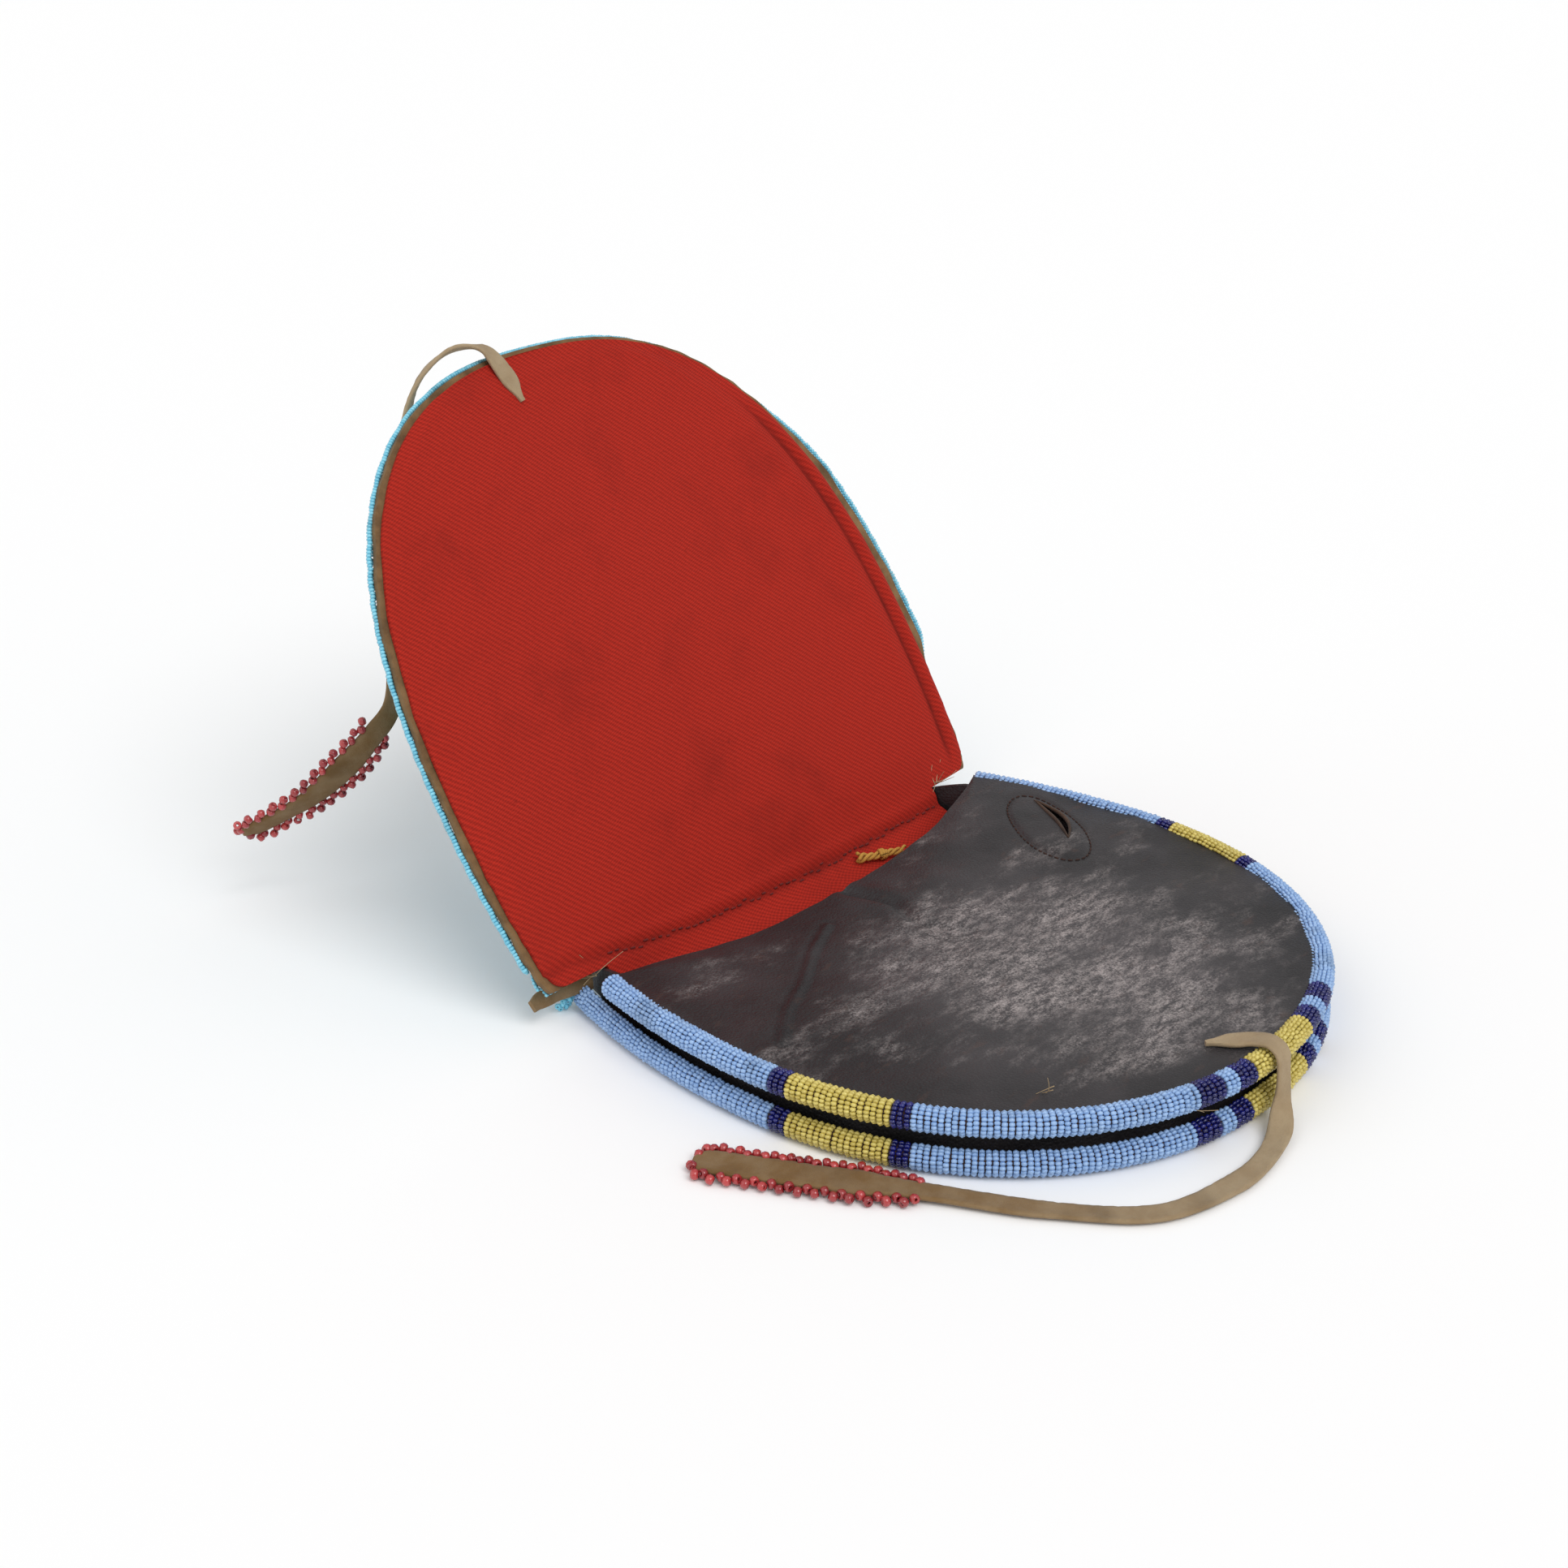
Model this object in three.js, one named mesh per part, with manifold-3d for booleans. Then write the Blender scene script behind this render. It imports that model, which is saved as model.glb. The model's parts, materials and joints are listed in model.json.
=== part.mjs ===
// Beaded leather belt pouch, lying on its back with the flap raised.
// Millimetres, +Z up. While it is built, X runs along the flap hinge, the pouch lies towards -Y
// and the floor is at z = 0. The finished group is moved so that its origin is under its centre.
import * as THREE from "three";
import { mergeVertices } from "three/addons/utils/BufferGeometryUtils.js";
import loadManifold from "manifold-3d";

const manifoldKit = await loadManifold();
manifoldKit.setup();

// Fits
const CLEARANCE = 0.3; // gap left between neighbouring pieces
const RING_STEP = 7; // length of one facet along a beaded rim

// Pouch outline: the line through the middle of the beaded rims, measured down from the hinge line
const POUCH_HALF_WIDTH = 107.6; // at the widest place
const POUCH_WIDEST = 75; // hinge line to the widest place
const POUCH_LENGTH = 187; // hinge line to the tip of the rim line
const MOUTH_HALF_WIDTH = 95.4; // at the hinge line
const POUCH_FULLNESS = 2.1; // superellipse exponent of the round end

// Beaded rims
const BEAD_ROW = 1.9; // pitch of the bead rows along a rim
const RIM_RADIUS = 4.1; // roll of beads round the sewn edge
const RIM_SPACING = 12.9; // middle of the back rim to middle of the front rim
const FRONT_RIM_END = 12; // front rim stops this far below the hinge line
const BACK_RIM_END = -6; // back rim runs this far past the hinge line
const RIM_SIDES = 10; // facets round a rim

// Leather panels and gusset
const PANEL = 1.8; // thickness of the front and back panels
const PANEL_RISE = 2.8; // outer face of a panel above the middle of its rim
const PANEL_EDGE = 0.8; // panel edge inside the middle of its rim
const GUSSET = 1.4; // thickness of the gusset
const MOUTH_DIP = 16; // hollow of the front panel's mouth edge
const BACK_PANEL_TOP = -5; // top edge of the back panel, past the hinge line

// Belt slots in the back panel
const SLOT_LENGTH = 50;
const SLOT_WIDTH = 6;
const SLOT_SPACING = 76;
const SLOT_BELOW_TAIL = 10; // slots start this far below the lining's tail

// Pull hole kept from the boot that the front panel was cut from
const FACING_CENTRE = new THREE.Vector2(77.5, -55.5);
const FACING_TURN = 55.4; // degrees, long axis of the oval from the X axis
const FACING_LENGTH = 58;
const FACING_WIDTH = 26;
const FACING = 1; // thickness
const SLIT_LENGTH = 32;
const SLIT_WIDTH = 4;
const SLIT_BOW = 3; // rise of the slit's curve
const SLIT_FACETS = 8;
const SLIT_ALONG = 5; // slit's middle from the oval's middle, along the oval
const SLIT_ACROSS = 3; // and across it

// Flap: distances run up from the hinge, which lies on the lining's face
const FLAP_TILT = 56.2; // degrees above the floor, as it leans back
const FLAP_HALF_WIDTH = 114.6; // lining at the widest place
const FLAP_WIDEST = 45;
const FLAP_LENGTH = 189.4; // hinge to the tip of the lining
const FLAP_BASE = -8; // lower edge, below the hinge
const FLAP_BASE_HALF_WIDTH = 110.1;
const FLAP_FULLNESS = 2.5;
const FLAP_CORNER = 6; // rounding of the lower corners
const HINGE_BACK = 7.35; // hinge behind the hinge line of the rims
const FLAP_REST = 0.8; // closed flap above the front rim
const LINING = 1.2; // thickness of the wool
const HIDE = 2; // thickness of the buckskin
const HIDE_MARGIN = 1.8; // hide past the lining
const BEAD_MARGIN = 1.5; // beadwork past the hide
const LANE = 8; // width of one lane of beadwork
const LANE_VALLEY = 1.1; // beadwork's thickness between lanes
const LANE_CREST = 1.9; // and at the crown of a lane
const LANE_FACETS = 4;

// Spine: hide and lining that rise from the back panel to the flap
const BEND_RADIUS = 9.7; // inside of the bend, on the lining
const BEND_FACETS = 8;
const LINING_TAIL = 30; // lining reaches this far below the hinge line
const HIDE_TAIL = 22;

// Thongs: narrow strips that widen into tabs edged with beads
const THONG = 1.5; // thickness
const THONG_WIDTH = 7;
const TAB_WIDTH = 11;
const TAB_LENGTH = 66;
const THONG_STEPS = 44;
const EDGE_BEAD_RADIUS = 1.45;
const EDGE_BEAD_WAIST = 0.9; // radius between two beads
const EDGE_BEAD_PITCH = 2.9;

// Trim at the near hinge corner and in the mouth
const CORNER_THONG_WIDTH = 6;
const CORNER_BEAD_RADIUS = 1.7;
const YARN_RADIUS = 1.2;
const YARN_KNOT_RADIUS = 2.1;

// Heights that follow from the sizes above
const BACK_RIM_Z = RIM_RADIUS;
const FRONT_RIM_Z = RIM_RADIUS + RIM_SPACING;
const BACK_OUTER_Z = BACK_RIM_Z - PANEL_RISE;
const BACK_INNER_Z = BACK_OUTER_Z + PANEL;
const FRONT_OUTER_Z = FRONT_RIM_Z + PANEL_RISE;
const FRONT_INNER_Z = FRONT_OUTER_Z - PANEL;
const HIDE_Z = BACK_INNER_Z + CLEARANCE;
const LINING_FACE_Z = HIDE_Z + HIDE + CLEARANCE + LINING;
const HINGE_Z = FRONT_RIM_Z + RIM_RADIUS + FLAP_REST;
const TILT = THREE.MathUtils.degToRad(FLAP_TILT);
const GUSSET_INSET = RIM_RADIUS + CLEARANCE;
const FLAP_DEPTH = LINING + HIDE + LANE_CREST + 2 * CLEARANCE;
const FLAP_SWEEP = Math.hypot(FLAP_BASE, FLAP_DEPTH); // reach of the flap's lower edge round the hinge
const Z_AXIS = new THREE.Vector3(0, 0, 1);

const finish = (colour, roughness) => ({ color: colour, roughness, metalness: 0 });
const FINISHES = {
  blackLeather: finish(0x2d2b2d, 0.6),
  buckskin: finish(0x6e5537, 0.9),
  thong: finish(0x8c785f, 0.9),
  wool: finish(0xb9281e, 0.95),
  blue: finish(0x78a5dc, 0.3),
  navy: finish(0x0f1464, 0.3),
  yellow: finish(0xc8b446, 0.3),
  turquoise: finish(0x5fc3e1, 0.3),
  redBeads: finish(0x961e2d, 0.25),
  yarn: finish(0xc8963c, 0.95),
};

// Bead rows of one rim from the tip to its end. The last run fills what is left.
const RIM_RUNS = [
  ["yellow", 17],
  ["navy", 4],
  ["blue", 3],
  ["navy", 5],
  ["blue", 44],
  ["navy", 3],
  ["yellow", 17],
  ["navy", 3],
  ["blue", Infinity],
];

// A horseshoe outline: slightly bowed sides and a superellipse end. Points are (x, distance).
class Horseshoe {
  constructor({ halfWidth, widest, length, baseHalfWidth, base, fullness }) {
    Object.assign(this, { halfWidth, widest, length, baseHalfWidth, base, fullness });
  }

  halfAt(distance) {
    if (distance > this.widest) {
      const rise = (distance - this.widest) / (this.length - this.widest);
      return this.halfWidth * (1 - rise ** this.fullness) ** (1 / this.fullness);
    }
    const fall = (this.widest - distance) / (this.widest - this.base);
    return this.halfWidth - (this.halfWidth - this.baseHalfWidth) * fall ** 2;
  }

  // From the +X side at the distance `from`, round the tip, to the -X side; `inset` moves it inwards.
  line(from, inset = 0, sideSteps = 8, endSteps = 16) {
    const half = [];
    for (let step = 0; step < sideSteps; step += 1) {
      const distance = THREE.MathUtils.lerp(from, this.widest, step / sideSteps);
      half.push(new THREE.Vector2(this.halfAt(distance), distance));
    }
    for (let step = 0; step < endSteps; step += 1) {
      const turn = (Math.PI / 2) * (step / endSteps);
      const across = Math.cos(turn) ** (2 / this.fullness);
      const along = Math.sin(turn) ** (2 / this.fullness);
      const reach = this.length - this.widest;
      half.push(new THREE.Vector2(this.halfWidth * across, this.widest + reach * along));
    }
    const mirrored = half.map((point) => new THREE.Vector2(-point.x, point.y)).reverse();
    const points = [...half, new THREE.Vector2(0, this.length), ...mirrored];
    return points.map((point, place) => {
      const before = points[Math.max(place - 1, 0)];
      const after = points[Math.min(place + 1, points.length - 1)];
      const along = after.clone().sub(before).normalize();
      return new THREE.Vector2(point.x - along.y * inset, point.y + along.x * inset);
    });
  }
}

const POUCH = new Horseshoe({
  halfWidth: POUCH_HALF_WIDTH,
  widest: POUCH_WIDEST,
  length: POUCH_LENGTH,
  baseHalfWidth: MOUTH_HALF_WIDTH,
  base: 0,
  fullness: POUCH_FULLNESS,
});

// Half width between the gusset's walls where the spine stands.
const SPINE_HALF_WIDTH = POUCH.halfAt(BACK_RIM_END) - GUSSET_INSET - GUSSET - CLEARANCE;

const RIM_CORNER = new THREE.Vector3(-POUCH.halfAt(BACK_RIM_END), -BACK_RIM_END, 0);
const CORNER_THONG_Z = HINGE_Z - FLAP_SWEEP - CLEARANCE - CORNER_THONG_WIDTH / 2;

// A closed solid through rings of points that all follow one section.
function loft(rings, section) {
  const sides = section.length;
  const index = [];
  for (let ring = 0; ring + 1 < rings.length; ring += 1) {
    for (let side = 0; side < sides; side += 1) {
      const a = ring * sides + side;
      const b = ring * sides + ((side + 1) % sides);
      index.push(a, b, a + sides, b, b + sides, a + sides);
    }
  }
  const last = (rings.length - 1) * sides;
  for (const [a, b, c] of THREE.ShapeUtils.triangulateShape(section, [])) {
    index.push(a, c, b, last + a, last + b, last + c);
  }
  const geometry = new THREE.BufferGeometry().setFromPoints(rings.flat());
  geometry.setIndex(index);
  geometry.computeVertexNormals();
  return geometry;
}

// One ring of a section, placed by its origin and its two axes.
function ringAt(origin, xAxis, yAxis, section) {
  return section.map((point) =>
    origin.clone().addScaledVector(xAxis, point.x).addScaledVector(yAxis, point.y),
  );
}

function circle(radius, sides) {
  return new THREE.EllipseCurve(0, 0, radius, radius).getPoints(sides).slice(0, sides);
}

// A flat strip's section with its corners taken off.
function stripSection(width, thickness) {
  const x = width / 2;
  const y = thickness / 2;
  const nip = Math.min(width, thickness) / 3;
  return [
    [x - nip, -y],
    [x, nip - y],
    [x, y - nip],
    [x - nip, y],
    [nip - x, y],
    [-x, y - nip],
    [-x, nip - y],
    [nip - x, -y],
  ].map(([across, up]) => new THREE.Vector2(across, up));
}

// A level plate between two heights.
function plate(shape, lower, upper) {
  const geometry = new THREE.ExtrudeGeometry(shape, { depth: upper - lower, bevelEnabled: false });
  return geometry.translate(0, 0, lower);
}

// A profile drawn in (y, z), run along X between the two sides.
function sheetAlongX(profile, halfWidth) {
  const shape = new THREE.Shape(profile);
  const geometry = new THREE.ExtrudeGeometry(shape, { depth: 2 * halfWidth, bevelEnabled: false });
  geometry.translate(0, 0, -halfWidth);
  const turn = new THREE.Matrix4().makeBasis(
    new THREE.Vector3(0, 1, 0),
    new THREE.Vector3(0, 0, 1),
    new THREE.Vector3(1, 0, 0),
  );
  return geometry.applyMatrix4(turn);
}

function toManifold(geometry) {
  const bare = geometry.clone();
  bare.deleteAttribute("normal");
  bare.deleteAttribute("uv");
  const merged = mergeVertices(bare);
  const mesh = new manifoldKit.Mesh({
    numProp: 3,
    vertProperties: new Float32Array(merged.attributes.position.array),
    triVerts: new Uint32Array(merged.index.array),
  });
  return new manifoldKit.Manifold(mesh);
}

function fromManifold(solid) {
  const mesh = solid.getMesh();
  const geometry = new THREE.BufferGeometry();
  geometry.setAttribute("position", new THREE.BufferAttribute(mesh.vertProperties, mesh.numProp));
  geometry.setIndex(new THREE.BufferAttribute(mesh.triVerts, 1));
  geometry.computeVertexNormals();
  return geometry;
}

function piece(name, geometry, finishName) {
  const material = new THREE.MeshStandardMaterial(FINISHES[finishName]);
  const mesh = new THREE.Mesh(geometry, material);
  mesh.name = name;
  return mesh;
}

// Panels

function panelShape(topLeft, closeMouth) {
  const edge = POUCH.line(topLeft, PANEL_EDGE);
  const shape = new THREE.Shape(edge.map((point) => new THREE.Vector2(point.x, -point.y)));
  closeMouth(shape, edge[0]);
  return shape;
}

function slotPath(x) {
  const top = -(LINING_TAIL + SLOT_BELOW_TAIL);
  const radius = SLOT_WIDTH / 2;
  const path = new THREE.Path();
  path.absarc(x, top - radius, radius, 0, Math.PI);
  path.absarc(x, top - SLOT_LENGTH + radius, radius, Math.PI, 2 * Math.PI);
  path.closePath();
  return path;
}

// The crescent slit, drawn in the oval's own axes and turned into place.
function slitPath() {
  const turn = THREE.MathUtils.degToRad(FACING_TURN);
  const inPlace = (along, across) =>
    new THREE.Vector2(along, across).rotateAround(new THREE.Vector2(), turn).add(FACING_CENTRE);
  const start = inPlace(SLIT_ALONG - SLIT_LENGTH / 2, -SLIT_ACROSS);
  const end = inPlace(SLIT_ALONG + SLIT_LENGTH / 2, -SLIT_ACROSS);
  const inner = inPlace(SLIT_ALONG, -SLIT_ACROSS - 2 * SLIT_BOW + SLIT_WIDTH);
  const outer = inPlace(SLIT_ALONG, -SLIT_ACROSS - 2 * SLIT_BOW - SLIT_WIDTH);
  const there = new THREE.QuadraticBezierCurve(start, outer, end).getPoints(SLIT_FACETS);
  const back = new THREE.QuadraticBezierCurve(end, inner, start).getPoints(SLIT_FACETS);
  return new THREE.Path([...there.slice(0, -1), ...back.slice(0, -1)]);
}

function backPanel() {
  const shape = panelShape(BACK_PANEL_TOP, (outline) => outline.closePath());
  shape.holes.push(slotPath(-SLOT_SPACING / 2), slotPath(SLOT_SPACING / 2));
  return piece("back_panel", plate(shape, BACK_OUTER_Z, BACK_INNER_Z), "blackLeather");
}

function frontPanel() {
  const shape = panelShape(FRONT_RIM_END, (outline, corner) => {
    outline.quadraticCurveTo(0, -corner.y - 2 * MOUTH_DIP, corner.x, -corner.y);
  });
  shape.holes.push(slitPath());
  return piece("front_panel", plate(shape, FRONT_INNER_Z, FRONT_OUTER_Z), "blackLeather");
}

function slitFacing() {
  const turn = THREE.MathUtils.degToRad(FACING_TURN);
  const shape = new THREE.Shape();
  const { x, y } = FACING_CENTRE;
  shape.absellipse(x, y, FACING_LENGTH / 2, FACING_WIDTH / 2, 0, 2 * Math.PI, false, turn);
  shape.holes.push(slitPath());
  const top = FRONT_INNER_Z - CLEARANCE;
  return piece("slit_facing", plate(shape, top - FACING, top), "blackLeather");
}

// The gusset stands between the panels. Its ends slope from the front rim's end to the back rim's.
function gusset() {
  const outer = POUCH.line(BACK_RIM_END, GUSSET_INSET);
  const inner = POUCH.line(BACK_RIM_END, GUSSET_INSET + GUSSET);
  const bottom = BACK_INNER_Z + CLEARANCE;
  const top = FRONT_INNER_Z - CLEARANCE;
  const lowest = bottom + PANEL;
  const section = [
    new THREE.Vector2(0, 0),
    new THREE.Vector2(1, 0),
    new THREE.Vector2(1, 1),
    new THREE.Vector2(0, 1),
  ];
  const rings = outer.map((point, place) => {
    const slope = (point.y - BACK_RIM_END) / (FRONT_RIM_END - BACK_RIM_END);
    const height = THREE.MathUtils.lerp(lowest, top, THREE.MathUtils.clamp(slope, 0, 1));
    return [
      new THREE.Vector3(inner[place].x, -inner[place].y, bottom),
      new THREE.Vector3(point.x, -point.y, bottom),
      new THREE.Vector3(point.x, -point.y, height),
      new THREE.Vector3(inner[place].x, -inner[place].y, height),
    ];
  });
  return piece("gusset", loft(rings, section), "blackLeather");
}

// Beaded rims: rolls with a groove that takes the panel's edge, in runs of one colour.

function rimSection(side) {
  const grooveLow = PANEL_RISE - PANEL - CLEARANCE;
  const grooveHigh = PANEL_RISE + CLEARANCE;
  const grooveEnd = CLEARANCE - PANEL_EDGE;
  const from = -Math.PI - Math.asin(grooveLow / RIM_RADIUS);
  const to = Math.PI - Math.asin(grooveHigh / RIM_RADIUS);
  const roll = new THREE.EllipseCurve(0, 0, RIM_RADIUS, RIM_RADIUS, from, to);
  const points = [
    ...roll.getPoints(RIM_SIDES),
    new THREE.Vector2(grooveEnd, grooveHigh),
    new THREE.Vector2(grooveEnd, grooveLow),
  ];
  if (side > 0) {
    return points;
  }
  return points.map((point) => new THREE.Vector2(point.x, -point.y)).reverse();
}

// Start and end of every run, with its colour, from one end of the rim to the other.
function rimRuns(total) {
  const half = [];
  let place = 0;
  RIM_RUNS.forEach(([colour, rows], order) => {
    const length = (order === 0 ? rows / 2 : rows) * BEAD_ROW;
    const end = Math.min(place + length, total / 2);
    half.push({ colour, start: place, end });
    place = end;
  });
  const [tip, ...rest] = half;
  const mirrored = rest.map(({ colour, start, end }) => ({ colour, start: -end, end: -start }));
  const middle = { colour: tip.colour, start: -tip.end, end: tip.end };
  return [...mirrored.reverse(), middle, ...rest];
}

function beadedRim(name, from, z, side) {
  const line = POUCH.line(from).map((point) => new THREE.Vector3(point.x, -point.y, z));
  const curve = new THREE.CatmullRomCurve3(line, false, "centripetal");
  curve.arcLengthDivisions = 1000;
  const total = curve.getLength();
  const section = rimSection(side);
  return rimRuns(total).map(({ colour, start, end }, order) => {
    const first = total / 2 + start + CLEARANCE / 2;
    const last = total / 2 + end - CLEARANCE / 2;
    const steps = Math.max(1, Math.round((last - first) / RING_STEP));
    const rings = [];
    for (let step = 0; step <= steps; step += 1) {
      const share = THREE.MathUtils.lerp(first, last, step / steps) / total;
      const outward = Z_AXIS.clone().cross(curve.getTangentAt(share)).normalize();
      rings.push(ringAt(curve.getPointAt(share), outward, Z_AXIS, section));
    }
    const number = String(order + 1).padStart(2, "0");
    return piece(`${name}_${number}_${colour}`, loft(rings, section), colour);
  });
}

// Spine: the sheet's two faces in (y, z), from its tail, round the bend, to just short of the flap.
function spineProfile(tail, inside, thickness) {
  const rise = (HINGE_Z - LINING_FACE_Z) / Math.sin(TILT);
  const corner = HINGE_BACK - rise * Math.cos(TILT);
  const tangent = BEND_RADIUS * Math.tan(TILT / 2);
  const centre = new THREE.Vector2(corner - tangent, LINING_FACE_Z + BEND_RADIUS);
  const end = FLAP_BASE - CLEARANCE;
  const face = (depth) => {
    const radius = BEND_RADIUS + depth;
    const bend = new THREE.EllipseCurve(
      centre.x,
      centre.y,
      radius,
      radius,
      -Math.PI / 2,
      TILT - Math.PI / 2,
    );
    const top = new THREE.Vector2(
      HINGE_BACK + end * Math.cos(TILT) + depth * Math.sin(TILT),
      HINGE_Z + end * Math.sin(TILT) - depth * Math.cos(TILT),
    );
    return [new THREE.Vector2(-tail, centre.y - radius), ...bend.getPoints(BEND_FACETS), top];
  };
  return [...face(inside + thickness), ...face(inside).reverse()];
}

function spine() {
  const lining = sheetAlongX(spineProfile(LINING_TAIL, 0, LINING), SPINE_HALF_WIDTH);
  const hide = sheetAlongX(spineProfile(HIDE_TAIL, LINING + CLEARANCE, HIDE), SPINE_HALF_WIDTH);
  return [piece("mouth_lining", lining, "wool"), piece("spine_hide", hide, "buckskin")];
}

// Flap, built in its own axes: x along the hinge, y up the flap, z out of the lining's face.

function flapShape(margin) {
  const outline = new Horseshoe({
    halfWidth: FLAP_HALF_WIDTH,
    widest: FLAP_WIDEST,
    length: FLAP_LENGTH,
    baseHalfWidth: FLAP_BASE_HALF_WIDTH,
    base: FLAP_BASE,
    fullness: FLAP_FULLNESS,
  });
  const edge = outline.line(FLAP_BASE + FLAP_CORNER, -margin);
  const corner = outline.halfAt(FLAP_BASE) + margin;
  const shape = new THREE.Shape(edge);
  const left = edge[edge.length - 1];
  shape.lineTo(left.x, left.y);
  shape.quadraticCurveTo(-corner, FLAP_BASE, FLAP_CORNER - corner, FLAP_BASE);
  shape.lineTo(corner - FLAP_CORNER, FLAP_BASE);
  shape.quadraticCurveTo(corner, FLAP_BASE, edge[0].x, edge[0].y);
  return shape;
}

// Lanes of beads lie across the flap. Each lane is a low hump on the flap's outer face.
function laneSheet(face) {
  const lanes = Math.ceil((FLAP_LENGTH + HIDE_MARGIN + BEAD_MARGIN - FLAP_BASE) / LANE) + 1;
  const steps = lanes * LANE_FACETS;
  const profile = [new THREE.Vector2(FLAP_BASE - LANE, face)];
  for (let step = 0; step <= steps; step += 1) {
    const along = FLAP_BASE + (LANE * step) / LANE_FACETS;
    const hump = Math.sqrt(Math.sin((Math.PI * (step % LANE_FACETS)) / LANE_FACETS));
    const depth = THREE.MathUtils.lerp(LANE_VALLEY, LANE_CREST, hump);
    profile.push(new THREE.Vector2(along, face - depth));
  }
  profile.push(new THREE.Vector2(FLAP_BASE + lanes * LANE, face));
  const sheet = sheetAlongX(profile, FLAP_HALF_WIDTH + HIDE_MARGIN + BEAD_MARGIN + LANE);
  const level = plate(flapShape(HIDE_MARGIN + BEAD_MARGIN), face - 2 * LANE_CREST, face + LANE);
  return fromManifold(toManifold(sheet).intersect(toManifold(level)));
}

function flapLayers() {
  const hideTop = -LINING - CLEARANCE;
  const beadTop = hideTop - HIDE - CLEARANCE;
  return [
    piece("flap_lining", plate(flapShape(0), -LINING, 0), "wool"),
    piece("flap_hide", plate(flapShape(HIDE_MARGIN), hideTop - HIDE, hideTop), "buckskin"),
    piece("flap_beadwork", laneSheet(beadTop), "turquoise"),
  ];
}

// Thongs

// A strip through hand-chosen points. Each point gives its place and the direction of the width.
class Thong {
  constructor(route) {
    const places = route.map(([x, y, z]) => new THREE.Vector3(x, y, z));
    const widths = route.map(([, , , x, y, z]) => new THREE.Vector3(x, y, z));
    this.line = new THREE.CatmullRomCurve3(places, false, "centripetal");
    this.line.arcLengthDivisions = 600;
    this.across = new THREE.CatmullRomCurve3(widths, false, "centripetal");
    this.length = this.line.getLength();
  }

  frameAt(share) {
    const along = this.line.getTangentAt(share);
    const across = this.across.getPoint(this.line.getUtoTmapping(share));
    across.addScaledVector(along, -across.dot(along)).normalize();
    const face = along.clone().cross(across);
    return { place: this.line.getPointAt(share), along, across, face };
  }

  widthAt(share) {
    const tab = (share * this.length - (this.length - TAB_LENGTH)) / TAB_WIDTH;
    return THREE.MathUtils.lerp(THONG_WIDTH, TAB_WIDTH, THREE.MathUtils.smoothstep(tab, -1, 1));
  }

  strip() {
    const rings = [];
    for (let step = 0; step <= THONG_STEPS; step += 1) {
      const { place, across, face } = this.frameAt(step / THONG_STEPS);
      const section = stripSection(this.widthAt(step / THONG_STEPS), THONG);
      rings.push(ringAt(place, across, face, section));
    }
    return loft(rings, stripSection(THONG_WIDTH, THONG));
  }

  // The line of beads along one edge of the tab, round its end and back along the other edge.
  edgeLine() {
    const reach = EDGE_BEAD_RADIUS + CLEARANCE;
    const start = 1 - TAB_LENGTH / this.length;
    const steps = Math.round(TAB_LENGTH / TAB_WIDTH);
    const side = (sign) => {
      const points = [];
      for (let step = 0; step <= steps; step += 1) {
        const share = THREE.MathUtils.lerp(start, 1, step / steps);
        const { place, across } = this.frameAt(share);
        points.push(place.addScaledVector(across, sign * (this.widthAt(share) / 2 + reach)));
      }
      return points;
    };
    const { place, along } = this.frameAt(1);
    const tip = place.addScaledVector(along, 2 * reach);
    const curve = new THREE.CatmullRomCurve3([...side(1), tip, ...side(-1).reverse()], false, "centripetal");
    curve.arcLengthDivisions = 600;
    return curve;
  }

  edgeBeads() {
    const line = this.edgeLine();
    const steps = 2 * Math.round(line.getLength() / EDGE_BEAD_PITCH);
    const frames = line.computeFrenetFrames(steps, false);
    const rings = [];
    for (let step = 0; step <= steps; step += 1) {
      const radius = step % 2 === 1 ? EDGE_BEAD_RADIUS : EDGE_BEAD_WAIST;
      const origin = line.getPointAt(step / steps);
      rings.push(ringAt(origin, frames.normals[step], frames.binormals[step], circle(radius, 6)));
    }
    return loft(rings, circle(EDGE_BEAD_RADIUS, 6));
  }
}

// Front thong: from its stub on the panel, over the rims, along the floor to its tab.
const FRONT_THONG_ROUTE = [
  [-17, -172, 21, 0.7, 0.7, 0],
  [-11, -178, 21.4, 0.8, 0.6, 0],
  [-7.5, -183.5, 22.3, 1, 0.3, 0],
  [-6.5, -188, 22.5, 1, 0.1, 0],
  [-7, -191.6, 20.6, 1, 0, 0],
  [-8.5, -193.4, 15, 1, 0, 0],
  [-11.5, -195.3, 7.5, 1, -0.2, 0.1],
  [-19, -199, 2.6, 0.6, -0.8, 0.1],
  [-33, -201.5, 1.3, 0.2, -1, 0],
  [-48.4, -200.5, 1.1, 0, -1, 0],
  [-72.9, -191.7, 1.1, -0.4, -0.9, 0],
  [-91, -168.4, 1.3, -0.8, -0.5, 0],
  [-107.5, -135, 1.7, -0.9, -0.45, 0],
  [-122, -106, 1.7, -0.9, -0.45, 0],
  [-136, -77, 1.7, -0.9, -0.45, 0],
];

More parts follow.
